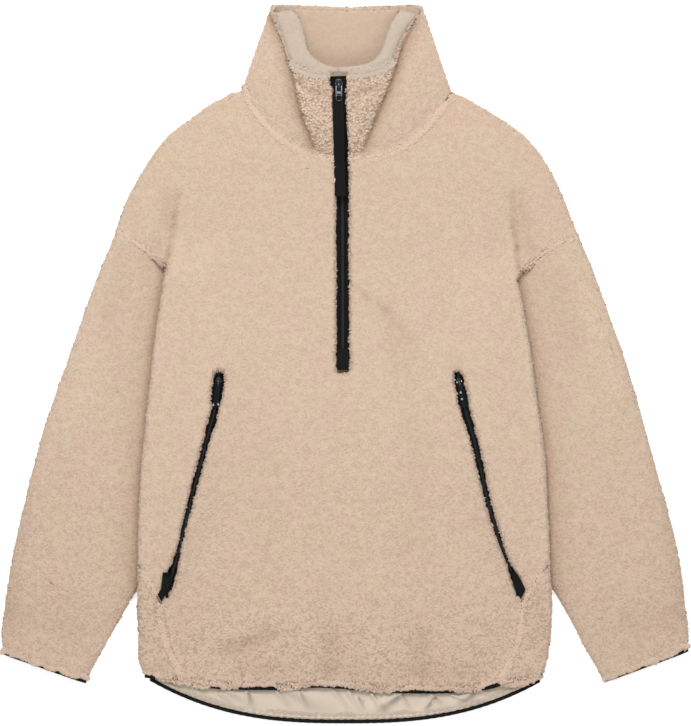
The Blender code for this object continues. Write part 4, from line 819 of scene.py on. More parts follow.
# measures in mm: a curl's length and width, how far it bows and twists sideways, stands up and is sunk at
# its ends; spacing is the room for each on a surface, each the length of edge for one
# shade is the painted shade of a curl's ends and sides and of its paler back
bodyCurls = {"length": 5.6, "width": 2.1, "bow": 1.3, "twist": 1.6, "height": 0.8, "sunk": 0.6,
             "spacing": 3.95, "vary": 0.028, "shade": (0.88, 1.0), "steps": 2}
bibCurls = {"length": 5.0, "width": 2.9, "bow": 1.3, "twist": 1.6, "height": 1.5, "sunk": 0.8,
            "spacing": 3.2, "vary": 0.05, "shade": (0.80, 1.05), "steps": 4}
# over a seam or a cut edge
seamCurls = {"length": 5.2, "width": 1.9, "bow": 1.2, "twist": 1.6, "height": 0.8, "sunk": 0.4, "each": 0.9,
             "raised": 1.0, "vary": 0.04, "shade": (0.92, 1.0), "steps": 3, "clearance": 5.0}
# over a hem or a cuff
hemCurls = {"length": 7.0, "width": 2.5, "bow": 2.2, "twist": 2.8, "height": 1.2, "sunk": 0.5, "each": 0.18,
            "vary": 0.06, "shade": (0.84, 1.02), "steps": 3}
# on the walls of the cloth beside a zip
slotCurls = {"length": 4.8, "width": 1.5, "bow": 1.2, "twist": 1.5, "height": 0.7, "sunk": 0.3,
             "spacing": 2.1, "vary": 0.05, "shade": (0.82, 1.0), "steps": 2}
# a fringe round the outline, painted paler: a painted highlight along the edge
fringeCurls = {"length": 2.7, "width": 1.1, "bow": 0.8, "twist": 1.0, "height": 0.3, "sunk": 0.2,
               "spacing": 2.2, "vary": 0.04, "shade": (1.0, 1.10), "steps": 2}
# the short brushed pile of the collar's rim and facing
rimCurls = {"length": 4.0, "width": 1.4, "bow": 0.9, "twist": 1.2, "height": 0.4, "sunk": 0.4,
            "spacing": 2.1, "vary": 0.04, "shade": (0.90, 1.0), "steps": 2}
# how far the pile hangs past the front hem's edge at places across it; below 3 its binding peeks out
hemReach = [
    (-240, 0.4), (-232, 1.0), (-226, 5.5), (-216, 8.5), (-186, 10.5), (-168, 9.0), (-161, 5.0),
    (-157, 2.6), (-151, 3.0), (-146, 6), (-132, 6), (-127, 2.4), (-114, 1.2), (-100, 0.2), (-88, 0.2),
    (-82, 3.2), (-78, 8), (-59, 7), (-48, 5.2), (-40, 2.8), (-30, 2.0), (-14, 3.4), (-10, 2.4), (3, 3.4),
    (8, 6), (54, 6.5), (59, 3.6), (72, 1.2), (84, 0.6), (102, 1.4), (128, 3.0), (133, 6.5), (160, 6),
    (167, 2.8), (176, 1.2), (183, 2.8), (189, 7), (200, 12), (216, 13), (232, 9), (240, 4),
]
leftCuffReach = [
    (-414, 5), (-370, 5.4), (-364, 3.0), (-358, 5.4), (-350, 5), (-344, 2.6), (-338, 5), (-324, 4.6),
    (-316, 1.4), (-308, 0.6),
]
rightCuffReach = [
    (308, 5), (350, 5.4), (356, 2.8), (362, 5.4), (392, 5), (400, 1.6), (414, 0.8),
]
bindingOf = {
    "front_panel": ("hem_binding_front", "frontHemTufts", hemReach),
    "sleeve_left": ("cuff_binding_left", "leftCuffTufts", leftCuffReach),
    "sleeve_right": ("cuff_binding_right", "rightCuffTufts", rightCuffReach),
}
zipLines = [middleLine(node) for node in ("front_zip", "pocket_zip_left", "pocket_zip_right")]


def alongEdges(points, pairs, each):
    lengths = np.linalg.norm(points[pairs[:, 0]] - points[pairs[:, 1]], axis=1)
    count = int(lengths.sum() / each)
    chance = dice.uniform(0, lengths.sum(), count)
    picked = np.searchsorted(np.cumsum(lengths), chance).clip(0, len(pairs) - 1)
    part = dice.uniform(0, 1, (count, 1))
    return points[pairs[picked, 0]] * (1 - part) + points[pairs[picked, 1]] * part, picked


def unit(vectors):
    return vectors / np.linalg.norm(vectors, axis=1, keepdims=True)


# how high the frame's topmost surface is at each place
def topAt(places):
    tops = []
    for x, y, z in places:
        hit = everything.ray_cast(Vector((x, y, 90)), Vector((0, 0, -1)))[0]
        tops.append(z if hit is None else max(z, hit[2]))
    return np.array(tops)


# the same on a circle round each place too
def levelsAround(places, radius, turns=4):
    levels = [topAt(places)]
    for turn in np.radians(20 + 360 / turns * np.arange(turns)):
        levels.append(topAt(places + (radius * np.cos(turn), radius * np.sin(turn), 0)))
    return np.array(levels)


# a step between two cloths becomes a ramp
def rampAt(places, radius):
    levels = levelsAround(places, radius)
    return levels.mean(0) * 0.6 + levels.max(0) * 0.4


# tufts that hang over a binding, from its upper edge down; reach holds pairs of place across and how far
def bindingTufts(node, title, reach):
    points, faces = nodeSurface(node)
    points, faces, _ = splitLong(points, faces, np.full(len(faces), 5.0))
    line = []
    for x in np.arange(points[:, 0].min() + 1, points[:, 0].max(), 6.0):
        line.append((x, points[abs(points[:, 0] - x) < 5, 1].max()))
    line = np.array(line)
    count = int(np.ptp(line[:, 0]) / hemCurls["each"])
    x = dice.uniform(line[0, 0] - 1, line[-1, 0] + 1, count)
    slope = np.interp(x, line[:, 0], np.gradient(line[:, 1], line[:, 0]))
    roots = np.stack([x, np.interp(x, line[:, 0], line[:, 1]), np.zeros(count)], 1)
    away = unit(np.stack([slope, -np.ones(count), np.zeros(count)], 1))
    far = np.interp(x, *zip(*reach))
    far = far * dice.uniform(0.0, 1.0, count) ** 0.55 + 2.2 * (lumps(roots, 5, 51) - 0.5)
    far = far + dice.normal(size=count) * 0.5
    size = 0.55 + 0.55 * lumps(roots, 7, 52)
    roots = roots + away * (far - hemCurls["length"] * size / 2)[:, None]
    roots[:, 2] = np.maximum(rampAt(roots, 3.0), points[:, 2].max() - 0.8) + dice.uniform(-0.4, 0.5, count)
    along = unit(away + dice.normal(size=roots.shape) * (0.6, 0.6, 0.05))
    # painted shade: the tufts a little darker, by an amount that varies in soft patches
    shade = 0.92 + 0.08 * lumps(roots, 16, 53)
    return makeCurls(title, roots, straightUp(count), along, hemCurls, materials["strands"], shade, size)


# the extreme of a piece's upper side, every few mm: sign is 1 for its high end and -1 for its low one
def borderOf(node, over, axis, sign, span, above):
    points, faces = nodeSurface(node)
    points, faces, _ = splitLong(points, faces, np.full(len(faces), 5.0))
    points = points[points[:, 2] > above]
    line = []
    for place in np.arange(span[0], span[1], 6.0):
        beside = points[abs(points[:, over] - place) < 4, axis]
        if len(beside):
            spot = [place, sign * (sign * beside).max()]
            line.append(spot if over == 0 else spot[::-1])
    return np.array(line)


# where one cloth's edge is sewn to the next, the pile of both is caught in a soft row of curls
seamLines = {
    "collar": [("collar", 0, 1, -1, (-121, -12), 16), ("collar", 0, 1, -1, (2, 126), 16)],
    "side_panel_left": [("side_panel_left", 1, 0, 1, (-386, -246), 16)],
    "side_panel_right": [("side_panel_right", 1, 0, -1, (-388, -246), 16)],
    "sleeve_left": [("sleeve_left", 0, 1, 1, (-272, -217), 10)],
    "sleeve_right": [("sleeve_right", 0, 1, 1, (217, 278), 10)],
}
seamPaths = [[tuple(spot) for spot in borderOf(*where)] for rows in seamLines.values() for where in rows]


def seamCover(node, piece):
    made = []
    for number, where in enumerate(seamLines.get(node, [])):
        line = borderOf(*where)
        steps = np.concatenate([[0], np.cumsum(np.linalg.norm(np.diff(line, axis=0), axis=1))])
        place = np.arange(0, steps[-1], 0.13)
        x, y = (np.interp(place, steps, line[:, axis]) for axis in (0, 1))
        roots = np.stack([x, y, place * 0], 1)
        roots[:, :2] += dice.normal(size=(len(place), 2)) * (1.2 + 0.5 * lumps(roots, 12, 81)[:, None])
        roots = roots[fromLine(roots, zipLines[0])[0] > 9.5]
        roots[:, 2] = rampAt(roots, 3.2) + dice.uniform(-0.1, 0.2, len(roots))
        count = len(roots)
        along = unit(dice.normal(size=(count, 3)) * (1, 1, 0.05))
        up = straightUp(count)
        size = 0.8 + 0.4 * lumps(roots, 8, 82)
        shade = pileAt(node, roots)[0] + 0.02
        title = piece["title"] + "SeamRow" + "AB"[number]
        made.append(makeCurls(title, roots, up, along, seamCurls, materials["strands"], shade, size))
    return made


# curls along a piece's cut edges: tufts over its binding, a row over a seam, a fringe on its walls
def edgeCurls(node, piece, points, faces, wanted, edges, seam, strands):
    made = []
    name, slot, material = piece["title"], piece["slot"], materials[strands]
    touched = np.zeros(len(points))
    np.maximum.at(touched, faces.ravel(), np.repeat((wanted < hiddenFace).astype(float), 3))
    border = (touched > 0) & (seam > 0)
    pairs = edges[border[edges[:, 0]] & border[edges[:, 1]]]
    outward = pointNormals(points, faces)
    low = (points[:, 1] < -330) & (outward[:, 1] < -0.15)
    if node in bindingOf:
        made.append(bindingTufts(*bindingOf[node]))
    rowed = np.min([fromLine(points, line)[0] for line in seamPaths], axis=0) < 5
    some = pairs[~low[pairs[:, 0]] & ~rowed[pairs[:, 0]]]
    if len(some) > 3:
        roots, picked = alongEdges(points, some, seamCurls["each"])
        up = unit(outward[some[picked, 0]] * 0.35 + (0, 0, 0.9))
        up = np.where(roots[:, 2:] < 4, outward[some[picked, 0]], up)
        raised = dice.uniform(0.3, 1.1, (len(roots), 1))
        roots = roots + up * seamCurls["raised"] * raised * (1 if strands == "strands" else 0.5)
        along = dice.normal(size=(len(roots), 3))
        along = unit(along - up * (along * up).sum(1, keepdims=True))
        # painted shade: the curls over a cut edge a little darker than the pile there
        shade = pileAt(node, roots)[0] - 0.04
        size = (0.75 + 0.6 * lumps(roots, 9, 21)) * (1 if strands == "strands" else 0.7)
        made.append(makeCurls(name + "SeamCurls", roots, up, along, seamCurls, material, shade, size))
    if strands == "rimStrands":
        roots, picked = alongEdges(points, pairs, 0.09)
        roots = roots[(roots[:, 2] > 14) & (roots[:, 1] < 362)]
        roots = roots + dice.normal(size=roots.shape) * (2.0, 2.0, 0)
        roots[:, 2] = rampAt(roots, 2.0) + dice.uniform(0.0, 0.5, len(roots))
        along = unit(dice.normal(size=roots.shape) * (1, 1, 0.02))
        size = 0.8 + 0.7 * dice.uniform(0, 1, len(roots))
        look = {**rimCurls, "length": 4.8, "width": 1.9, "height": 0.7, "shade": (0.96, 1.03)}
        up = straightUp(len(roots))
        made.append(makeCurls(name + "BorderCurls", roots, up, along, look, material, 1.0, size))
    centres, normals, _ = faceFrames(points, faces)
    walls = (wanted < hiddenFace) & (abs(normals[:, 2]) < 0.6) & (centres[:, 2] > 1.5)
    walls &= strands != "insideStrands"
    nearZip = np.min([fromLine(centres, line)[0] for line in zipLines], axis=0) < 16
    slotWalls = walls & nearZip & (centres[:, 2] > 8)
    rows = (("Fringe", fringeCurls, walls & ~nearZip), ("SlotCurls", slotCurls, slotWalls))
    for title, look, chosen in rows:
        if chosen.sum() < 5:
            continue
        roots, way, _, _ = placesOn(points, faces, chosen, look["spacing"])
        along = way * (1, 1, 0.2) + dice.normal(size=(len(roots), 3)) * 0.5
        up = unit(np.cross(along, np.cross((0, 0, 1), along)))
        size = np.ones(len(roots)) if title == "Fringe" else 0.45 + 0.9 * lumps(roots, 7, 31)
        made.append(makeCurls(name + title, roots, up, unit(along), look, material, size=size))
    return made


# soft ridges where the thin lining is caught up: two ends, width and height, in mm
liningFolds = [
    (-72, -388, -8, -418, 8.0, 1.2), (-140, -392, -92, -414, 7.0, 0.9), (62, -398, 24, -420, 6.0, 1.0),
    (150, -396, 122, -412, 6.0, 0.8), (0, -385, 18, -419, 3.6, 1.3), (-18, -388, 6, -416, 3.0, 0.9),
    (32, -397, 50, -420, 3.4, 1.2), (14, -400, 24, -417, 2.4, 0.8), (-119, -393, -114, -411, 3.0, 1.1),
    (106, -399, 90, -419, 2.8, 1.1), (106, -399, 116, -408, 2.6, 0.8), (-84, -391, -66, -412, 3.4, 1.0),
    (-56, -394, -44, -416, 3.0, 0.8), (128, -398, 150, -404, 2.6, 0.7),
    (-150, -396, -136, -410, 3.0, 0.9), (66, -396, 76, -414, 2.6, 0.7),
    (-160, -362, -20, -372, 7.0, 0.8), (20, -362, 150, -370, 7.0, 0.8), (162, -392, 176, -400, 2.4, 0.7),
    (-182, -388, -170, -399, 2.4, 0.7),
]


def foldHeights(points):
    total = np.zeros(len(points))
    for x0, y0, x1, y1, width, high in liningFolds:
        run = np.array([x1 - x0, y1 - y0])
        offset = points[:, :2] - (x0, y0)
        part = np.clip(offset @ run / (run @ run), 0, 1)
        away = np.linalg.norm(offset - part[:, None] * run, axis=1)
        total += high * (1 - 0.9 * part) * np.exp(-(away / (width * (0.7 + 0.9 * part))) ** 2)
    return total


def wrinkleLining(points):
    lowEdge = []
    for x in np.arange(-218, 219, 12.0):
        lowEdge.append((x, points[abs(points[:, 0] - x) < 9, 1].min()))
    near = fromLine(points, lowEdge)[0]
    raised = 4.2 * foldHeights(points) * smoothStep(-points[:, 1], 384, 397)
    gathers = 0.5 + 0.5 * np.sin(points[:, 0] * 2 * np.pi / 7.5 + 4 * lumps(points, 22, 61))
    gathers = gathers * np.exp(-(near / 6) ** 2) * (near > 0.6)
    raised += gathers + 0.9 * lumps(points, 20, 62) * smoothStep(-points[:, 1], 380, 396)
    return raised, lowEdge


# the back's own pile turned over the seam of the lining, a narrow cream band
def hemPile(lowEdge):
    line = np.array(lowEdge)
    count = 1900
    x = dice.uniform(line[0, 0], line[-1, 0], count)
    thick = 1.4 + 3.4 * lumps(np.stack([x, x * 0, x * 0], 1), 14, 63)
    y = np.interp(x, line[:, 0], line[:, 1]) + 5.2 + thick * dice.uniform(0, 1, count)
    roots = np.stack([x, y, np.full(count, 7.0)], 1)
    roots[:, 2] = topAt(roots) + dice.uniform(0.4, 1.6, count)
    along = unit(dice.normal(size=(count, 3)) * (1, 0.6, 0.02))
    look = {**rimCurls, "height": 0.6, "length": 3.8, "vary": 0.06, "shade": (0.9, 1.05)}
    return makeCurls("backHemPile", roots, straightUp(count), along, look, materials["rimStrands"], 1.12)


# one piece of cloth: its surface cut finer, softened and given a pile, then its curls
def dressCloth(node, piece):
    points, faces = nodeSurface(node)
    points, faces = evenTriangles(points, faces, 19.0)
    points, faces, _ = splitLong(points, faces, np.full(len(faces), hiddenFace))
    free = openFaces(points, faces, 4.0)
    wanted = np.where(free > 0, piece["fine"], hiddenFace)
    centres, normals, _ = faceFrames(points, faces)
    resting = (normals[:, 2] < -0.8) & (centres[:, 2] < 1.5)
    wanted = np.where(resting, np.maximum(6.8, piece["fine"]), wanted)
    points, faces, wanted = splitLong(points, faces, wanted)
    edges = edgesOf(faces)[0]
    hidden = np.zeros(len(points))
    np.maximum.at(hidden, faces.ravel(), np.repeat((wanted >= hiddenFace).astype(float), 3))
    open01 = 1 - hidden
    for _ in range(3):
        open01 = np.minimum(open01, neighbourMeans(open01, edges, len(points)))
    outward = pointNormals(points, faces)
    walls = np.zeros_like(points)
    for number in np.flatnonzero((hidden > 0) & (abs(outward[:, 2]) < 0.8)):
        ray = Vector(outward[number])
        hit = everything.ray_cast(Vector(points[number]) + ray * 0.05, ray, 2.5)
        if hit[0] is not None:
            walls[number] = outward[number] * (hit[3] / 2 + 0.2)
    softened = soften(points, faces, 24, 1.0)
    points = points + (softened - points) * (1 - hidden)[:, None] + walls
    normals = pointNormals(points, faces)
    if node in ("front_panel", "collar"):
        points = points + partedBy(points)
    shade, curly = pileAt(node, points)
    seam = (np.linalg.norm(walls, axis=1) > 0).astype(float)
    # painted shade along the seams
    shade -= 0.08 * neighbourMeans(seam, edges, len(points))
    extra = []
    if node == "collar":
        aside = points[:, 0] + 7.3
        flare = 3.0 * smoothStep(points[:, 1], 322, 341) * smoothStep(-abs(aside), -14, -8)
        points[:, 0] += np.sign(aside) * flare * (points[:, 2] > 10)
        upper = points[:, 2] > 12
        fold = np.minimum(fromLine(points, leftFold)[0], fromLine(points, rightFold)[0])
        groove = 9 * strokesAt(points, collarStrokes) - 1.5 * np.exp(-(fold / 2.4) ** 2)
        points = points + pointNormals(points, faces) * (groove * upper)[:, None]
    elif node == "front_panel":
        relief = 11 * strokesAt(points, frontStrokes) * (points[:, 2] > 12) * open01
        points = points + pointNormals(points, faces) * relief[:, None]
    if piece["look"] == "lining":
        raised, lowEdge = wrinkleLining(points)
        # painted light and shade on the lining's folds, paler on one side and darker on the other as if lit
        # from one side, and a painted shadow under the front hem
        aside = np.array([2.5, -1.8, 0.0])
        slope = wrinkleLining(points + aside)[0] - wrinkleLining(points - aside)[0]
        overhang = fromLine(points, borderOf("hem_binding_front", 0, 1, -1, (-236, 237), 9))[0]
        shade = np.clip(1 + 0.15 * slope, 0.62, 1.04) - 0.22 * np.exp(-(overhang / 4.0) ** 2)
        points = points + np.array([0, 0, 1.0]) * raised[:, None]
        extra.append(hemPile(lowEdge))
    else:
        bent = points + 2.2 * np.stack([lumps(points, 9, seed) - 0.5 for seed in (3, 4, 5)], 1)
        pile = 0.65 * domes(bent, 7.0, 11) + 0.35 * domes(bent, 12.0, 12)
        flat = smoothStep(points[:, 2], 1.2, 4.0)
        depth = (1 - pile) * (0.45 + 0.8 * flat) * open01 * (1.0 if piece["look"] == "fleece" else 0.35)
        points = points - normals * depth[:, None]
        points[:, 2] = np.maximum(points[:, 2], 0.02)
    made = makeMesh(piece["title"], points, faces, materials[piece["look"]], {"curly": curly, "shade": shade})
    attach(made, "garment")
    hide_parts(node)
    if piece["look"] != "lining":
        centres, normals, _ = faceFrames(points, faces)
        strands = {"fleece": "strands", "rim": "rimStrands", "inside": "insideStrands"}[piece["look"]]
        small = rimCurls if piece["look"] != "fleece" else bodyCurls
        shown = (wanted < hiddenFace) & ~((normals[:, 2] < -0.5) & (centres[:, 2] < 4))
        faceShade, faceCurly = shade[faces].mean(1), curly[faces].mean(1)
        for part, (look, region) in enumerate(((small, faceCurly < 0.6), (bibCurls, faceCurly >= 0.6))):
            if not (shown & region).any():
                continue
            roots, outward, along, picked = placesOn(points, faces, shown & region, look["spacing"])
            half = roots[:, 0] < 0
            for name, chosen in (("A", half), ("B", ~half)) if len(roots) > 20000 else (("", half | True),):
                title = piece["title"] + "Curls" + ("Big" if part else "") + name
                grouped = smoothStep(lumps(roots[chosen], 30, 71), 0.42, 0.72)
                size = 0.95 + (0.25 + 0.65 * grouped) * faceCurly[picked][chosen] * (part == 0)
                # each curl takes the painted shade of the surface under it
                tone = faceShade[picked][chosen]
                extra.append(makeCurls(title, roots[chosen], outward[chosen], along[chosen], look,
                                       materials[strands], tone, size))
        extra += edgeCurls(node, piece, points, faces, wanted, edges, seam, strands)
        extra += seamCover(node, piece)
    print(piece["title"], len(faces), "triangles")


for nodeName, clothPiece in cloth.items():
    dressCloth(nodeName, clothPiece)


# zips: woven tape, a nylon coil sewn along it, its stitches
frontZip = {"chainHigh": 2.0, "tapeWall": 1.0, "size": 1.0, "ribPitch": 1.5, "ribHigh": 0.07, "pitch": 1.5}
pocketZip = {**frontZip, "size": 0.75, "ribPitch": 2.0, "pitch": 1.6}
zipStitch = {"pitch": 2.6, "length": 2.0, "thick": 0.32, "inset": 2.0}


def dressZip(node, title, zipper):
    rail = railOf(node, 3.0)
    fine = railAt(rail, zipper["ribPitch"] / 2)
    count = len(fine["middle"])
    base = fine["middle"] - (0, 0, zipper["chainHigh"])
    wave = zipper["ribHigh"] * np.cos(np.arange(count) * np.pi)
    outline = np.array([(-1, -0.8), (-0.96, -1), (0.96, -1), (1, -0.8), (1, -0.15), (0.95, 0), (0.62, 0),
                        (0.34, 0.02), (0.28, 0.3), (-0.28, 0.3), (-0.34, 0.02), (-0.62, 0), (-0.95, 0),
                        (-1, -0.15)])
    profiles = np.repeat(outline[None], count, 0)
    profiles[:, :, 0] *= fine["half"][:, None]
    underside = outline[:, 1] * zipper["tapeWall"]
    profiles[:, :, 1] = np.where(outline[:, 1] < -0.5, underside, outline[:, 1] + wave[:, None])
    tape = sweptMesh(title + "Tape", base, fine["across"], profiles, materials["tape"])
    settle(tape, "garment", node)
    paths, sides = [], []
    for side, start in ((-1, 0.0), (1, zipper["pitch"] / 2)):
        spots = railAt(rail, zipper["pitch"], 1.0 + start, 1.0)
        low = spots["middle"] - (0, 0, zipper["chainHigh"])
        bends = []
        for across, high in ((2.75, 0.25), (2.2, 1.15), (1.0, 1.55), (0.0, 1.5), (-0.55, 0.9)):
            bends.append(low + spots["across"] * side * across * zipper["size"] + (0, 0, high))
        paths.append(np.stack(bends, 1))
        sides.append(spots["along"] / np.linalg.norm(spots["along"], axis=1, keepdims=True))
    paths, sides = np.concatenate(paths), np.concatenate(sides)
    wire = 0.62 * zipper["pitch"]
    coil = roundStrands(title + "Coil", paths, sides, (wire, wire), materials["coil"], 5)
    settle(coil, "garment")
    for side, name in ((-1, "A"), (1, "B")):
        shift, raised = side * 3.7 * zipper["size"], -zipper["chainHigh"] + 0.05
        row = stitchRow(title + "Stitches" + name, rail, shift, raised, zipStitch, materials["thread"])
        settle(row, "garment")
    print(title, len(paths), "turns of coil")


# sliders and pulls are outlines cut from plate, their edges rounded
def roundCorners(half, low, high, corner, steps=5):
    spots = []
    right, left, upper, lower = half - corner, corner - half, high - corner, low + corner
    corners = ((right, upper, 0), (left, upper, 90), (left, lower, 180), (right, lower, 270))
    for centreX, centreY, start in corners:
        for angle in np.radians(start + np.linspace(0, 90, steps)):
            spots.append((centreX + corner * np.cos(angle), centreY + corner * np.sin(angle)))
    return spots


def circleAt(x, y, radius, steps=20):
    angles = np.linspace(0, 2 * np.pi, steps, endpoint=False)
    return [(x + radius * np.cos(angle), y + radius * np.sin(angle)) for angle in angles]


# shape is in the piece's own mm: x across it, y from its head to its end
def flatPlate(name, loops, thick, edge, place, material):
    shape = bpy.data.curves.new(name, "CURVE")
    shape.dimensions = "2D"
    shape.fill_mode = "BOTH"
    shape.extrude = (thick / 2 - edge) * mm
    shape.bevel_depth = edge * mm
    shape.bevel_resolution = 2
    shape.offset = -edge * mm
    for loop in [loops[0]] + [hole[::-1] for hole in loops[1:]]:
        line = shape.splines.new("POLY")
        line.points.add(len(loop) - 1)
        for spot, (x, y) in zip(line.points, loop):
            spot.co = (x * mm, y * mm, 0, 1)
        line.use_cyclic_u = True
    outline = bpy.data.objects.new(name + "Outline", shape)
    bpy.context.scene.collection.objects.link(outline)
    mesh = bpy.data.meshes.new_from_object(outline.evaluated_get(bpy.context.evaluated_depsgraph_get()))
    bpy.data.objects.remove(outline)
    work = bmesh.new()
    work.from_mesh(mesh)
    bmesh.ops.remove_doubles(work, verts=work.verts[:], dist=2e-6)
    bmesh.ops.triangulate(work, faces=work.faces[:])
    points = np.array([corner.co[:] for corner in work.verts]) / mm
    faces = np.array([[corner.index for corner in face.verts] for face in work.faces])
    work.free()
    bpy.data.meshes.remove(mesh)
    made = outwardMesh(name, place(points), faces, material)
    made.data.set_sharp_from_angle(angle=0.7)
    return made


# turns a piece's own mm into the frame's: origin on the hinge, along down the zip
def seatedAt(origin, along):
    along = np.array([along[0], along[1], 0.0])
    along /= np.linalg.norm(along)
    across = np.array([along[1], -along[0], 0.0])
    sideways = lambda points: np.array(origin) + points[:, :1] * across
    return lambda points: sideways(points) + points[:, 1:2] * along + points[:, 2:] * (0, 0, 1)


def hingeOf(joint):
    return next(row for row in frame["record"]["behaviour"]["joints"] if row["name"] == joint)


# a rolled metal ring lying flat round a hole
def rolledRing(name, middle, radius, high, steps, thick, place, material):
    turn = np.linspace(0, 2 * np.pi, steps)
    x, y = middle
    path = np.stack([x + radius * np.cos(turn), y + radius * np.sin(turn), np.full(steps, high)], 1)
    return roundStrands(name, place(path)[None], np.array([[0, 0, 1.0]]), thick, material, 8)


# die-cast zinc: a plate that runs on the chain, its nose narrower, with the bridge that holds the pull
def makeSlider(title, node, hinge, along, slider, material, glintLipMaterial=None):
    low, high = (np.array(corner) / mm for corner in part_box(node))
    top = high[2] - slider["bridgeTop"]
    half, long = slider["wide"] / 2, slider["long"] / 2
    rows = ((0.55, -1.0), (0.8, -0.86), (1.0, -0.5), (0.97, 0.0), (0.9, 0.5), (0.8, 0.85), (0.62, 1.0))
    outline = [(x * half, y * long) for x, y in rows]
    outline = outline + [(-x, y) for x, y in reversed(outline)]
    thick = top - low[2]
    place = seatedAt((hinge[0], hinge[1], (top + low[2]) / 2), along)
    plate = flatPlate(title, [outline], thick, 0.32, place, material)
    halfArch = [(0.0, -3.0, -0.5), (0.0, -3.0, 1.4), (0.0, -2.6, 2.6), (0.0, -1.6, 3.2)]
    arch = halfArch + [(0.0, 0.0, 3.3)] + [(0.0, -y, z) for _, y, z in reversed(halfArch)]
    onTop = seatedAt((hinge[0], hinge[1], top), along)
    side = onTop(np.array([[1.0, 0, 0]])) - onTop(np.zeros((1, 3)))
    bridge = roundStrands(title + "Bridge", onTop(np.array(arch))[None], side, (2.4, 1.0), material, 10)
    rails = []
    for sign in (-1, 1):
        lip = [(sign * half * 0.82, y, 0.05) for y in np.linspace(-long * 0.45, long * 0.8, 5)]
        rails.append(onTop(np.array(lip)))
    # rails are broader where bright steel stands for a painted highlight
    thick = (1.5, 1.1) if glintLipMaterial else (0.8, 0.7)
    rails, ways = np.stack(rails), np.repeat(side, 2, 0)
    lips = roundStrands(title + "Lips", rails, ways, thick, glintLipMaterial or material, 8)
    return settle(joined(plate, [bridge, lips]), "garment", node)


# a row of close stitches across a strap
def barTack(name, centre, across, along, wide, material):
    bend = ((-0.9, -0.2), (-0.5, 0.18), (0.5, 0.18), (0.9, -0.2))
    paths = []
    for share in np.linspace(-1, 1, 13):
        spot = centre + across * share * wide / 2
        paths.append([spot + along * shift + (0, 0, high) for shift, high in bend])
    paths = np.array(paths)
    return roundStrands(name, paths, np.repeat(across[None], len(paths), 0), (0.42, 0.42), material, 5)


frontSlider = {"wide": 9.6, "long": 15.0, "bridgeTop": 3.8}
frontTab = {
    "wide": 8.0, "long": 19.5, "thick": 1.2, "windowHalf": 2.65, "windowEnd": 7.0, "eye": 2.85, "eyeAt": 15.2,
    "worn": {"tabArmA": (-3.9, 0.8, -2.5, 12.6), "tabArmB": (2.5, 0.8, 3.9, 13.4),
             "tabBridge": (-2.4, 7.6, 2.4, 10.4)},
}
strap = {"wide": 13.2, "thick": 1.6, "ribPitch": 1.6, "ribHigh": 0.12, "fine": 0.4, "tacks": (13.5, 119.0),
         "stitchIn": 1.3}
strapStitch = {"pitch": 2.4, "length": 1.8, "thick": 0.35, "inset": 5.0}


# ribbed webbing: its outline is a share of its half width, and of its thickness
def makeStrap():
    rail = railOf("front_strap", 3.0)
    fine = railAt(rail, strap["fine"])
    count = len(fine["middle"])
    wave = strap["ribHigh"] * np.cos(np.arange(count) * strap["fine"] * 2 * np.pi / strap["ribPitch"])
    outline = np.array([(-1, 0.25), (-1.0, 0.75), (-0.97, 0.93), (-0.9, 1), (-0.8, 0.93), (0.8, 0.93),
                        (0.9, 1), (0.97, 0.93), (1.0, 0.75), (1, 0.25), (0.95, 0), (-0.95, 0)])
    profiles = np.repeat(outline[None], count, 0)
    profiles[:, :, 0] *= fine["half"][:, None] + 0.4 * wave[:, None]
    ribs = np.where(outline[:, 1] > 0.5, 1, 0) * (wave - strap["ribHigh"])[:, None]
    profiles[:, :, 1] = (profiles[:, :, 1] - 1) * strap["thick"] + ribs
    made = sweptMesh("frontStrap", fine["middle"], fine["across"], profiles, materials["strap"])
    settle(made, "front_pull", "front_strap")
    for side, name in ((-1, "A"), (1, "B")):
        shift = side * (strap["wide"] / 2 - strap["stitchIn"])
        row = stitchRow("frontStrapStitches" + name, rail, shift, 0.0, strapStitch, materials["thread"])
        settle(row, "front_pull")
    across, along = np.array([1.0, 0, 0]), np.array([0.0, -1.0, 0.0])
    for place, name in zip(strap["tacks"], "AB"):
        centre = railAt(rail, 1000.0, place)["middle"][0]
        tack = barTack("frontStrapTack" + name, centre, across, along, 9.0, materials["thread"])
        settle(tack, "front_pull")


def makeFrontPull():
    hinge = np.array(hingeOf("front_pull_hinge")["pos_m"]) / mm
    look, metal, place = frontTab, materials["sliderMetal"], seatedAt(hinge, (0, -1))
    makeSlider("frontSlider", "front_slider", hinge, (0, -1), frontSlider, metal)
    outer = roundCorners(look["wide"] / 2, -0.6, look["long"], 1.6)
    window = roundCorners(look["windowHalf"], 0.6, look["windowEnd"], 0.5)
    eye = circleAt(0, look["eyeAt"], look["eye"], 28)
    tab = flatPlate("frontPullTab", [outer, window, eye], look["thick"], 0.28, place, metal)
    settle(tab, "front_pull", "front_pull_tab")
    onTop = seatedAt(hinge + (0, 0, look["thick"] / 2 + 0.1), (0, -1))
    for name, (left, top, right, end) in look["worn"].items():
        loop = [(left, top), (right, top), (right, end), (left, end)]
        rubbed = flatPlate(name, [loop], 0.5, 0.15, onTop, materials["tabMetal"])
        settle(rubbed, "front_pull")
    radius, high = look["eye"] + 0.45, look["thick"] / 2
    middle = (0, look["eyeAt"])
    ring = rolledRing("tabRing", middle, radius, high, 33, (0.9, 0.9), place, materials["ringMetal"])
    settle(ring, "front_pull")
    makeStrap()
    print("front pull and strap made")


pocketSlider = {"wide": 7.0, "long": 10.5, "bridgeTop": 3.8}
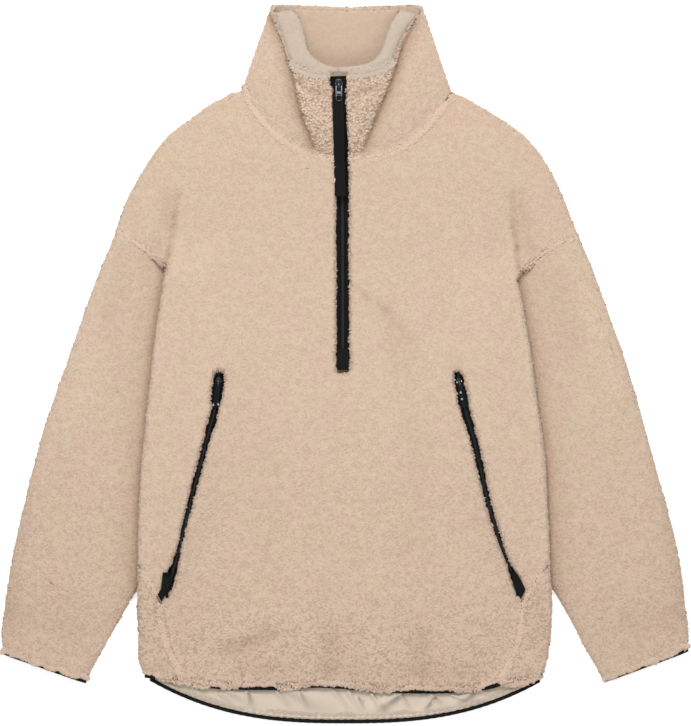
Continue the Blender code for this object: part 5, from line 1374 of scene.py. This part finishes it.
# left and right: where each side's two eyelets are, in mm across and from the hinge
pocketTab = {"wide": 7.0, "long": 30.0, "thick": 1.2, "windowHalf": 1.9, "windowEnd": 5.4, "lobe": 2.9,
             "left": [(-2.9, 26.4), (2.9, 27.4)], "right": [(0.9, 11.5), (1.1, 19.5)]}


# a rubber-coated tab; two small eyelets of bright steel are set side by side near its end
def makePocketPull(side):
    body, look = side + "_pocket_pull", pocketTab
    metal, rubberCoat, bright = materials["sliderMetal"], materials["rubber"], materials["eyelet"]
    row = hingeOf(body + "_hinge")
    hinge = np.array(row["pos_m"]) / mm
    axis = np.array(row["axis"])
    along = (-axis[1], axis[0]) if axis[0] < 0 else (axis[1], -axis[0])
    lips = bright if side == "right" else None    # painted highlight: only the right slider's rails are bright steel, for the glints they catch
    name = side.capitalize()
    makeSlider("pocketSlider" + name, "pocket_slider_" + side, hinge, along, pocketSlider, metal, lips)
    place = seatedAt(hinge, along)
    outer = roundCorners(look["wide"] / 2, -0.6, look["long"], 1.8)
    window = roundCorners(look["windowHalf"], 0.6, look["windowEnd"], 0.4)
    title = "pocketPull" + name
    tab = flatPlate(title, [outer, window], look["thick"], 0.3, place, rubberCoat)
    for (x, y), name in zip(look[side], (title + "EyeletA", title + "EyeletB")):
        lobe = flatPlate(name + "Lobe", [circleAt(x, y, look["lobe"], 24)], 1.9, 0.45, place, rubberCoat)
        eyelet = rolledRing(name, (x, y), 1.55, 0.9, 25, (0.8, 0.7), place, metal)
        rivet = flatPlate(name + "Rivet", [circleAt(x, y, 1.2, 18)], 2.4, 0.4, place, bright)
        for made in (lobe, eyelet, rivet):
            settle(made, body)
    settle(tab, body, "pocket_pull_" + side)
    print(title, "made")


# small patches over the zips' ends, and the bindings of hem and cuffs
binding = {"slot": "binding", "fine": 3.0, "rounds": 8, "most": 0.7, "ribPitch": 9.0, "ribHigh": 0.2}
bands = {
    "front_zip_stop": {"title": "frontZipPatch", "slot": "patch", "fine": 1.1, "rounds": 4, "most": 0.2,
                       "along": (0, 1), "ribPitch": 1.6, "ribHigh": 0.06},
    "pocket_stop_left": {
        "title": "pocketPatchLeft", "slot": "patch",
        "outline": [(-218.0, -249.8), (-207.0, -249.8), (-210.0, -267.8), (-219.6, -285.4), (-224.2, -276.3),
                    (-220.1, -269.4)]},
    "pocket_stop_right": {
        "title": "pocketPatchRight", "slot": "patch",
        "outline": [(198.4, -248.8), (203.4, -248.8), (209.0, -256.0), (216.0, -270.0), (210.6, -282.4),
                    (203.6, -270.6), (200.4, -259.6)]},
    "hem_binding_front": {**binding, "title": "frontHemBinding", "along": (1, 0)},
    "hem_binding_back": {**binding, "title": "backHemBinding", "along": (1, 0), "wider": 2.8},
    "cuff_binding_left": {**binding, "title": "cuffBindingLeft", "along": (0.94, -0.34)},
    "cuff_binding_right": {**binding, "title": "cuffBindingRight", "along": (0.94, 0.34)},
}
patchStitch = {"pitch": 2.2, "length": 1.6, "thick": 0.34, "inset": 1.6}


# a pocket's end patch: woven tape folded to a point, laid over the pile
def endPatch(node, band):
    outline = [np.array(corner) for corner in band["outline"]]
    dense = []
    for corner, after in zip(outline, outline[1:] + outline[:1]):
        steps = max(2, int(np.linalg.norm(after - corner) / 2.5))
        dense += [tuple(corner + (after - corner) * step / steps) for step in range(steps)]
    made = flatPlate(band["title"], [dense], 1.0, 0.3, lambda points: points, materials["patch"])
    mesh = made.data
    points = np.empty(len(mesh.vertices) * 3)
    mesh.vertices.foreach_get("co", points)
    points = points.reshape(-1, 3) / mm
    points[:, 2] += levelsAround(points * (1, 1, 0), 5.0, 8).max(0) + 1.0
    mesh.vertices.foreach_set("co", (points * mm).ravel())
    mesh.update()
    settle(made, "garment", node)


def dressBand(node, band):
    points, faces = nodeSurface(node)
    points, faces, _ = splitLong(points, faces, np.full(len(faces), band["fine"]))
    points = soften(points, faces, band["rounds"], band["most"])
    if band.get("wider"):
        upwards = smoothStep(pointNormals(points, faces)[:, 1], 0.2, 0.7)
        points[:, 1] += band["wider"] * upwards * (points[:, 2] > 2)
    run = points[:, :2] @ np.array(band["along"])
    wave = np.cos(run * 2 * np.pi / band["ribPitch"]) - 1
    points = points + pointNormals(points, faces) * (wave * band["ribHigh"] / 2)[:, None]
    points[:, 2] = np.maximum(points[:, 2], 0.02)
    made = makeMesh(band["title"], points, faces, materials[band["slot"]])
    settle(made, "garment", node)
    if band["slot"] == "patch":
        rail = railOf(node, 1.5)
        for side, name in ((-1, "A"), (1, "B")):
            row = stitchRow(band["title"] + "Stitches" + name, rail,
                            lambda spots: side * (spots["half"] - 1.3).clip(0.4), 0.0,
                            patchStitch, materials["thread"])
            settle(row, "garment")
    print(band["title"], len(faces), "triangles")


dressZip("front_zip", "frontZip", frontZip)
dressZip("pocket_zip_left", "pocketZipLeft", pocketZip)
dressZip("pocket_zip_right", "pocketZipRight", pocketZip)
for nodeName, band in bands.items():
    if "outline" in band:
        endPatch(nodeName, band)
    else:
        dressBand(nodeName, band)
makeFrontPull()
for side in ("left", "right"):
    makePocketPull(side)


# matt paper, lit from below too, so that it shows nearly white
def paperMaterial():
    made, tree = blankMaterial("paperFloor")
    place = addNode(tree, "TexCoord").outputs["Object"]
    grain = addNode(tree, "TexNoise", {"Scale": 25.0, "Detail": 3.0}, {"Vector": place}).outputs["Fac"]
    ends = {"data_type": "RGBA", 6: linear("#F7F7F7"), 7: linear("#FBFBFB")}
    colour = addNode(tree, "Mix", ends, {0: grain}).outputs[2]
    bump = addNode(tree, "Bump", {"Distance": 0.01 * mm, "Strength": 0.6}, {"Height": grain}).outputs[0]
    finish = {"Roughness": 0.9, "Specular IOR Level": 0.3, "Emission Color": linear("#FFFFFF"),
              "Emission Strength": 0.40}
    finishMaterial(tree, finish, {"Base Color": colour, "Normal": bump})
    return made


def makeFloor():
    bpy.ops.mesh.primitive_plane_add(size=8, location=(0, 0, -0.0004))
    floor = bpy.context.object
    floor.name = "floor"
    floor.data.materials.append(paperMaterial())


def addLight(name, place, size, power, aim=(0, 0, 0)):
    lamp = bpy.data.lights.new(name, "AREA")
    lamp.shape = "DISK"
    lamp.size = size
    lamp.energy = power
    made = bpy.data.objects.new(name, lamp)
    made.location = place
    made.rotation_euler = (Vector(aim) - Vector(place)).to_track_quat("-Z", "Y").to_euler()
    bpy.context.scene.collection.objects.link(made)


def makeCamera():
    view = {"distance": 6.0, "span": 0.8712, "over": 0.010, "x": 0.0006, "y": 0.0008}
    lens = bpy.data.cameras.new("camera")
    lens.sensor_width = 36
    lens.lens = 36 * view["distance"] / view["span"]
    camera = bpy.data.objects.new("camera", lens)
    camera.location = (view["x"], view["y"], view["distance"] + view["over"])
    bpy.context.scene.collection.objects.link(camera)
    bpy.context.scene.camera = camera


makeFloor()
addLight("keyLight", (-0.25, 1.8, 2.3), 1.2, 59)
addLight("fillLight", (0.3, -1.4, 2.8), 2.4, 28)
world = bpy.data.worlds.new("softRoom")
world.use_nodes = True
world.node_tree.nodes["Background"].inputs[0].default_value = linear("#FFFFFF")
world.node_tree.nodes["Background"].inputs[1].default_value = 0.55
bpy.context.scene.world = world
bpy.context.scene.view_settings.view_transform = "Standard"
makeCamera()
